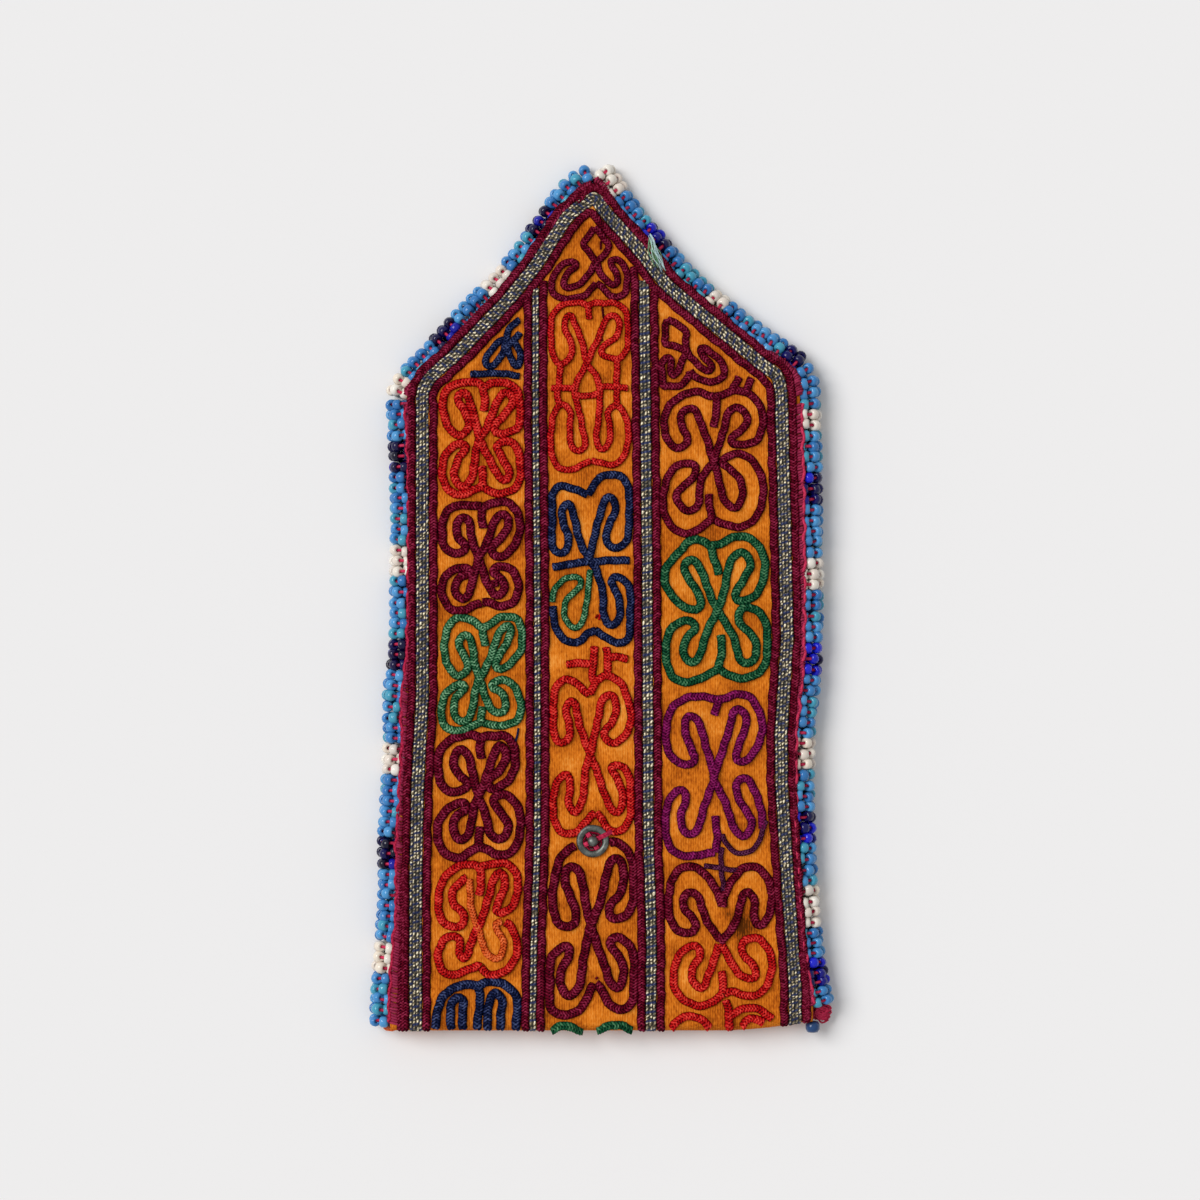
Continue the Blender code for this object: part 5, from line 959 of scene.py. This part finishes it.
def beads(points, side, runs):
    """All beads of an edging. Each row lies on a circle about the edge, its holes along the circle."""
    path, way, outward, half_height, names = bead_rows(points, side, runs)
    shape, faces = bead_shape()
    turns = (np.radians(BEAD_TURNS)[None, :] + RANDOM.normal(0, 0.2, (len(path), 1))
             + RANDOM.normal(0, 0.04, (len(path), len(BEAD_TURNS))))
    squeeze = (half_height / BEAD_HALF_HEIGHT)[:, None]
    out = BEAD_CIRCLE * np.cos(turns)
    up = BEAD_CIRCLE * squeeze * np.sin(turns)
    size = (1 + RANDOM.normal(0, 0.035, out.shape))[..., None]
    slide = RANDOM.normal(0, 0.14, out.shape)[..., None]
    flat = path[:, None] + outward[:, None] * out[..., None] + way[:, None] * slide
    height = np.maximum(half_height[:, None] + up, 1.04 * BEAD_RADIUS)
    centre = np.concatenate([flat, height[..., None]], -1)
    hole = np.concatenate([-outward[:, None] * np.sin(turns)[..., None], np.cos(turns)[..., None]], -1)
    along = np.concatenate([way, np.zeros((len(way), 1))], -1)[:, None] + RANDOM.normal(0, 0.08, hole.shape)
    across = np.cross(hole, along)
    across /= np.linalg.norm(across, axis=-1, keepdims=True)
    along = np.cross(across, hole)
    x, y, z = (shape[:, axis] for axis in range(3))
    turned_shape = (along[..., None, :] * x[:, None] + across[..., None, :] * y[:, None]
                    + hole[..., None, :] * z[:, None])
    body = centre[..., None, :] + size[..., None] * turned_shape
    count = out.size
    tones = np.array([[linear(colour) for colour in BEAD_COLOURS[name]] for name in names])
    picked = tones[np.arange(len(names))[:, None], RANDOM.integers(0, 5, out.shape)][:, :, None]
    colour = np.broadcast_to(picked, (*out.shape, len(shape), 4)).reshape(-1, 4)
    all_faces = (faces[None] + (np.arange(count) * len(shape))[:, None, None]).reshape(-1, 3)
    return body.reshape(-1, 3), all_faces, {"bead_colour": np.clip(colour, 0, 1)}


def round_thread(path, radius, sides=6):
    """A thread of round section along a path in space: at each point a circle across the path."""
    path = np.asarray(path, float)
    way = np.gradient(path, axis=0)
    way /= np.linalg.norm(way, axis=1, keepdims=True)
    hint = np.where(np.abs(way[:, 2:]) > 0.8, [[1.0, 0, 0]], [[0, 0, 1.0]])
    side = np.cross(hint, way)
    side /= np.linalg.norm(side, axis=1, keepdims=True)
    up = np.cross(way, side)
    turn = np.linspace(0, 2 * np.pi, sides, endpoint=False)[None, :, None]
    thick = np.broadcast_to(radius, (len(path),))[:, None, None]
    rings = path[:, None] + thick * (side[:, None] * np.cos(turn) + up[:, None] * np.sin(turn))
    # Painted highlight on one side of each short stretch and painted shade on the other, alternating along
    # the thread.
    relief = 0.75 + 0.25 * np.cos(turn[..., 0]) * np.sin(np.arange(len(path)) * 1.7)[:, None]
    return tube(rings, relief=relief, tint=np.full(rings.shape[:2], RANDOM.random()))


def bead_loops(points, side, runs):
    """The crimson thread that strings each row of beads: an open ring on the row's circle."""
    path, _, outward, half_height, _ = bead_rows(points, side, runs)
    turn = np.linspace(np.radians(-140), np.radians(140), 12)
    parts = []
    for place, out, half in zip(path, outward, half_height):
        flat = place + out * (BEAD_CIRCLE * np.cos(turn))[:, None]
        rise = half + BEAD_CIRCLE * half / BEAD_HALF_HEIGHT * np.sin(turn)
        parts.append(round_thread(np.column_stack([flat, rise]), STRINGING_RADIUS, 5))
    return joined(parts)


def edge_thread(points, side):
    """A loose overcast thread along the cloth's edge, a round thread that sways in and out."""
    path = spline(points, EDGE_STEP)
    left = directions(path)[1]
    walked = EDGE_STEP * np.arange(len(path))
    edge = path + left * (side * (0.85 + 0.3 * np.sin(walked / 0.75) * np.cos(walked / 2.9)))[:, None]
    height = cloth_top(edge[:, 0], edge[:, 1]) + 0.26 + 0.14 * np.sin(walked / 0.5)
    return round_thread(np.column_stack([edge, height]), EDGE_THREAD_RADIUS)


def edge_wrap(points, side):
    """Slanting stitches side by side that bind the cloth from its edge to the outer border line."""
    path = even(spline(points, 0.5), WRAP_PITCH)
    way, left = directions(path)
    outward = -left * side
    offset = OUTER_METAL_HALF - LINE_OVERLAP + LINE_HALF_WIDTH
    border = spline(even(beside(OUTER_BAND, offset), BAND_SPACING), 0.4)
    gap = np.sqrt(((path[:, None] - border[None]) ** 2).sum(-1)).min(1)
    parts = []
    for place, ahead, out, room in zip(path, way, outward, gap):
        inner = max(room - 0.6 * LINE_HALF_WIDTH, 1.7) + RANDOM.normal(0, 0.1)
        start = place - out * 0.55
        end = place - out * inner - ahead * RANDOM.normal(0.45, 0.15)
        stitch = start + (end - start) * np.linspace(0, 1, 6)[:, None]
        rise = cloth_top(stitch[:, 0], stitch[:, 1]) + np.array([-0.5, 0.2, 0.34, 0.36, 0.26, -0.1])
        parts.append(round_thread(np.column_stack([stitch, rise]), WRAP_RADIUS, 5))
    return joined(parts)


def make_edgings(glass, crimson, maroon):
    """The four beaded edgings with their stringing thread and the stitches that bind the edge."""
    edgings = (("left", SIDE_AXIS_LEFT, -1, SIDE_RUNS_LEFT),
               ("right", SIDE_AXIS_RIGHT, 1, SIDE_RUNS_RIGHT),
               ("flap_left", FLAP_AXIS_LEFT, -1, FLAP_RUNS_LEFT),
               ("flap_right", FLAP_AXIS_RIGHT, 1, FLAP_RUNS_RIGHT))
    for name, points, side, runs in edgings:
        piece(f"beads_{name}", beads(points, side, runs), glass, "glass_beads", f"bead_edging_{name}")
        piece(f"stringing_{name}", bead_loops(points, side, runs), crimson, "crimson_thread")
        piece(f"edge_wrap_{name}", edge_wrap(points, side), maroon, "maroon_thread")
        if name in ("left", "right"):
            piece(f"edge_thread_{name}", edge_thread(points, side), crimson, "crimson_thread")


# Dark spots on the cloth: place, reach and depth, read off
STAINS = [(28.8, -67.6, 2.3, 0.42), (26.2, -65.8, 1.5, 0.35), (29.6, -71.2, 2.4, 0.32),
          (-1.7, -57.5, 1.6, 0.2), (-18.5, 41.5, 2.0, 0.22), (-25.0, -21.0, 1.5, 0.25),
          (24.0, 51.0, 2.6, 0.12), (-29.5, 5.0, 1.6, 0.12)]


def sheet(name, rows, thickness, material, slot, node):
    """A cloth through rows of points, thickened away from its outer face. The stain at a point is the sum
    of the spots, each fading from its middle as a bell curve."""
    grid = np.array(rows)
    x, y = grid[..., 0], grid[..., 1]
    stain = sum(depth * np.exp(-((x - stain_x) ** 2 + (y - stain_y) ** 2) / reach ** 2)
                for stain_x, stain_y, reach, depth in STAINS)
    stain = np.where(grid[..., 2] > 3, stain, 0)
    faces = strip_faces(grid.shape[0], grid.shape[1], False)
    item = piece(name, (grid.reshape(-1, 3), faces, {"stain": stain.ravel()}), material, slot, node)
    skin = item.modifiers.new("thickness", "SOLIDIFY")
    skin.thickness = thickness * MM
    skin.offset = 1
    skin.use_even_offset = True
    return item


def across_row(y, depth, columns):
    """One row of points across the cloth, at a depth under the face."""
    left, right = cloth_edges(y)
    x = np.linspace(left, right, columns)
    height = flat_height(x, np.full(columns, y)) - depth
    if depth == 0:
        height = height + pucker(x, np.full(columns, y))
    return np.column_stack([x, np.full(columns, y), height])


def pouch_rows(depth, columns, spacing, rear):
    """Rows of a cloth from the flap's tip, down the front, round the oval fold and up the rear."""
    rows = [across_row(y, depth, columns) for y in even([[TIP_Y], [FOLD_Y]], spacing)[:, 0]]
    face = across_row(FOLD_Y, depth, columns)
    x, middle = face[:, 0], flat_height(face[:, 0], FOLD_Y) / 2
    bulge = FOLD_DEPTH - (depth + 2 * LAYER_GAP if depth else 0)
    for turn in np.linspace(0, np.pi, 15)[1:-1]:
        height = middle + (face[:, 2] - middle) * np.cos(turn)
        rows.append(np.column_stack([x, np.full(columns, FOLD_Y) - bulge * np.sin(turn), height]))
    for y in rear:
        rows.append(np.column_stack([across_row(y, depth, columns)[:, :2], np.full(columns, depth)]))
    return rows


def make_cloths(cotton, lining_cotton):
    """The cover, the lining and the back, each built as a thickened sheet."""
    cover_rows = pouch_rows(0, COVER_COLUMNS, COVER_SPACING, [FOLD_Y, -84, WRAP_END_Y])
    cover = sheet("cover", cover_rows, COVER_THICKNESS, cotton, "cover_cloth", "cover_cloth")
    depth = COVER_THICKNESS + LAYER_GAP
    rear = even([[FOLD_Y], [MOUTH_Y]], LINING_REAR_SPACING)[:, 0]
    lining_rows = pouch_rows(depth, LINING_COLUMNS, LINING_SPACING, rear)
    lining = sheet("lining", lining_rows, LINING_THICKNESS, lining_cotton, "lining_cloth", "lining_cloth")
    rows = []
    for y in even([[WRAP_END_Y + 0.3], [MOUTH_Y]], BACK_SPACING)[:, 0]:
        row = across_row(y, depth, BACK_COLUMNS)
        row[:, 2] = 0
        rows.append(row)
    back = sheet("back", rows, COVER_THICKNESS, cotton, "back_cloth", "back_cloth")


def turned(outline, place, sides=STUD_SIDES):
    """A round body: radii and heights turned about an upright axis at the place."""
    outline = np.array(outline, float)
    turn = np.linspace(0, 2 * np.pi, sides, endpoint=False)
    rings = np.stack([outline[:, :1] * np.cos(turn), outline[:, :1] * np.sin(turn),
                      np.broadcast_to(outline[:, 1:], (len(outline), sides))], -1) + np.array(place)
    return tube(rings)


# Each lash of the stud's thread: its bearing in degrees, its reach from the middle and its rise
SHORT_LASH = ((1.0, 1.4, 2.0), (0.5, 0.6, 0.4))
LONG_LASH = ((1.0, 1.7, 2.4, 3.3, 4.5), (0.6, 0.85, 1.1, 1.15, 0.5))
STUD_LASHES = [(27, *LONG_LASH), (125, *SHORT_LASH), (205, *SHORT_LASH), (300, *SHORT_LASH)]


def make_stud(steel, crimson):
    """The ball half with its lashing, and the socket half under the flap."""
    x, y = STUD_PLACE
    seat = (x, y, float(cloth_top(x, y)) + 0.3)
    ball = [(1.08 * np.sin(turn), 1.0 - 0.9 * np.cos(turn)) for turn in np.linspace(0.9, 3.05, 9)]
    outline = [(0.02, 0.0), (3.0, 0.0), (3.3, 0.14), (3.4, 0.4), (3.24, 0.68), (2.9, 0.8), (2.5, 0.78),
               (2.2, 0.66), (2.05, 0.4), (1.9, 0.16), (1.2, 0.12), (0.75, 0.12)] + ball + [(0.02, 1.9)]
    piece("stud_ball", turned(outline, seat), steel, "steel", "press_stud_ball_half")
    parts = []
    for turn, reach, rise in STUD_LASHES:
        way = np.array([np.cos(np.radians(turn)), np.sin(np.radians(turn))])
        for strand in np.linspace(-0.36, 0.36, 5):
            flat = np.array([x, y]) + np.array(reach)[:, None] * way + np.array([-way[1], way[0]]) * strand
            height = seat[2] + np.array(rise) + 0.06 * np.cos(4 * strand)
            parts.append(round_thread(spline(np.column_stack([flat, height]), 0.25), 0.13, 5))
    around = np.linspace(0, 2 * np.pi, 48)
    # The thread rings inside the stud's hollow, drawn mostly in their thread's painted shade colour.
    for radius in (1.12, 1.5, 1.84):
        wave = radius + 0.08 * np.sin(5 * around + radius * 9)
        height = seat[2] + 0.34 + 0.1 * np.sin(3 * around + radius * 7)
        ring = np.column_stack([x + wave * np.cos(around), y + wave * np.sin(around), height])
        parts.append(in_painted_shade(round_thread(ring, 0.15, 5), 0.45))
    piece("stud_thread", joined(parts), crimson, "crimson_thread", "press_stud_thread")
    top = float(flat_height(x, SOCKET_Y)) - 1.5
    socket = [(0.02, -0.6), (1.3, -0.6), (1.3, -1.7), (1.6, -1.85), (1.9, -1.7), (1.95, -0.75), (3.2, -0.7),
              (3.4, -0.5), (3.4, -0.2), (3.2, 0), (0.02, 0)]
    piece("stud_socket", turned(socket, (x, SOCKET_Y, top)), steel, "steel", "press_stud_socket_half")
    loops = []
    for number in range(4):
        turn = np.radians(45 + 90 * number)
        reach = np.array([2.1, 2.5, 3.0, 3.5, 3.7])
        flat = np.array([x, SOCKET_Y]) + reach[:, None] * [np.cos(turn), np.sin(turn)]
        height = top + np.array([-0.75, -1.0, -0.98, -0.6, 0.1])
        loops.append(round_thread(np.column_stack([flat, height]), 0.3, 6))
    piece("stud_socket_thread", joined(loops), crimson, "crimson_thread", "socket_thread")


# Loose fibres: name, solids, finish, slot, number of fibres, their spread and radius, and their path
LOOSE_ENDS = [
    ("tuft", ("thread_tuft",), "sage_thread", "pale_green_thread", 12, 0.34, 0.07,
     [(10.2, 74.6, 7.0), (10.6, 73.0, 7.5), (11.2, 71.2, 7.6), (11.9, 69.6, 7.2), (12.2, 68.9, 6.9)]),
    ("tuft_pale", (), "pale_green_thread", "pale_green_thread", 9, 0.3, 0.065,
     [(10.2, 75.6, 7.0), (11.0, 73.8, 7.6), (11.5, 72.0, 7.9), (12.4, 70.2, 7.6), (13.3, 68.3, 7.0)]),
    ("corner_navy_threads", (), "navy_thread", "navy_thread", 12, 0.3, 0.12,
     [(-44.7, -87.0, 5.0), (-44.2, -88.0, 5.4), (-43.4, -89.2, 4.6)]),
    ("corner_fray", (), "orange_red_thread", "orange_red_thread", 14, 0.28, 0.13,
     [(-45.5, -89.3, 3.6), (-44.2, -89.7, 4.2), (-42.8, -89.6, 4.4)])]
CORNER_KNOT = [
    ("knot", ("corner_knot",), "crimson_thread", "crimson_thread", 36, 0.36, 0.2,
     [(43.6, -89.6, 3.4), (44.8, -88.3, 3.9), (46.1, -89.0, 3.4), (47.2, -88.0, 3.0), (46.2, -87.2, 3.6),
      (44.9, -87.9, 3.9), (45.6, -89.4, 3.2), (47.0, -89.0, 2.8)])]

# Single stitches between the motifs: name, column, row, thread, and the ends in hundredths of the cell
SMALL_STITCHES = [("stray_blue_thread", "left", 5, "navy_thread", [(78, 85), (82, 95), (84, 105)]),
                  ("small_dark_stitch_1", "middle", 1, "maroon_thread", [(28, 52), (28, 32)]),
                  ("small_dark_stitch_2", "middle", 2, "maroon_thread", [(30, 90), (33, 78)]),
                  ("small_dark_stitch_3", "middle", 2, "maroon_thread", [(26, 62), (30, 52)]),
                  ("small_red_stitch_1", "middle", 3, "red_thread", [(10, -68), (16, -64)]),
                  ("small_red_stitch_2", "middle", 3, "red_thread", [(18, -70), (22, -62)]),
                  ("small_crimson_stitch", "middle", 5, "crimson_thread", [(8, -56), (13, -54)])]


def fibres(points, count, spread, radius):
    """A bundle of fine threads along a path, each on its own wandering line."""
    base = spline(points, 0.5)
    steps = np.linspace(0, 1, len(base))[:, None]
    parts = []
    for _ in range(count):
        offset = RANDOM.normal(0, spread, 3) * (0.4 + 0.9 * np.sin(np.pi * steps) + 0.8 * steps ** 2)
        wander = 0.12 * np.sin(steps * RANDOM.uniform(5, 12) + RANDOM.uniform(0, 6))
        path = base + offset * [1, 1, 0.6] + wander
        parts.append(round_thread(path, radius, 4))
    return joined(parts)


def make_loose_ends(finishes, bundles):
    """Bundles of loose fibres on the paths of the table."""
    for name, nodes, thread, slot, count, spread, radius, points in bundles:
        piece(name, fibres(points, count, spread, radius), finishes[thread], slot, *nodes)


def make_small_stitches(finishes):
    """The single stitches between the motifs: short round threads that lie on the cloth."""
    for name, column, row, thread, stroke in SMALL_STITCHES:
        path = spline(in_cell(stroke, cell(column, row)), 0.25)
        height = cloth_top(path[:, 0], path[:, 1]) + 0.2
        # Each stitch drawn mostly in its thread's painted shade colour.
        body = in_painted_shade(round_thread(np.column_stack([path, height]), 0.24), 0.4)
        piece(name, body, finishes[thread], thread)


def make_corner_bead(glass):
    """The single dark blue bead that ends the right edging, its hole lying level."""
    shape, faces = bead_shape()
    points = 1.25 * shape[:, [0, 2, 1]] * [1, 1, -1] + CORNER_BEAD
    colour = np.tile(linear((34, 66, 112)), (len(points), 1))
    piece("corner_bead", (points, faces, {"bead_colour": colour}), glass, "glass_beads")


def make_stage():
    """A pale floor and its material."""
    material, tree, shader = surface("floor", 0.9)
    shader.inputs["Base Color"].default_value = linear((237, 236, 236))
    shader.inputs["Specular IOR Level"].default_value = 0.1
    mesh = bpy.data.meshes.new("floor")
    corners = [(x * FLOOR_REACH, y * FLOOR_REACH, 0) for x, y in ((-1, -1), (1, -1), (1, 1), (-1, 1))]
    mesh.from_pydata(corners, [], [(0, 1, 2, 3)])
    mesh.materials.append(material)
    floor = bpy.data.objects.new("floor", mesh)
    bpy.context.scene.collection.objects.link(floor)


def make_view():
    """A camera straight above, a soft key light from the upper left and an even pale sky."""
    scene = bpy.context.scene
    camera = bpy.data.cameras.new("camera")
    camera.lens = LENS
    camera.sensor_width = SENSOR
    item = bpy.data.objects.new("camera", camera)
    item.location = (*VIEW_CENTRE, VIEW_WIDTH * LENS / SENSOR)
    scene.collection.objects.link(item)
    scene.camera = item
    sun = bpy.data.lights.new("key", "SUN")
    sun.energy = SUN_STRENGTH
    sun.angle = np.radians(SUN_ANGLE)
    key = bpy.data.objects.new("key", sun)
    x, y, z = SUN_FROM
    key.rotation_euler = (np.arctan2(np.hypot(x, y), z), 0, np.arctan2(y, x) + np.pi / 2)
    scene.collection.objects.link(key)
    world = bpy.data.worlds.new("sky")
    world.use_nodes = True
    world.node_tree.nodes["Background"].inputs["Color"].default_value = (1, 1, 1, 1)
    world.node_tree.nodes["Background"].inputs["Strength"].default_value = SKY
    scene.world = world
    scene.view_settings.view_transform = "Standard"


make_view()
make_stage()
FINISHES = {name: thread_finish(name) for name in THREADS}
# Each cotton's colours: painted shade in the grooves, its own colour on the ribs, and a painted highlight.
make_cloths(cotton_finish("orange cotton", (172, 84, 16), (218, 121, 30), (240, 158, 68)),
            cotton_finish("lining cotton", (84, 52, 28), (124, 82, 46), (150, 106, 64)))
make_lines(FINISHES["maroon_thread"], metal_finish())
make_second_rows(FINISHES["maroon_thread"])
make_motifs(FINISHES)
GLASS = glass_finish()
make_edgings(GLASS, FINISHES["crimson_thread"], FINISHES["maroon_thread"])
make_corner_bead(GLASS)
make_stud(steel_finish(), FINISHES["crimson_thread"])
make_loose_ends(FINISHES, LOOSE_ENDS)
make_small_stitches(FINISHES)
make_loose_ends(FINISHES, CORNER_KNOT)
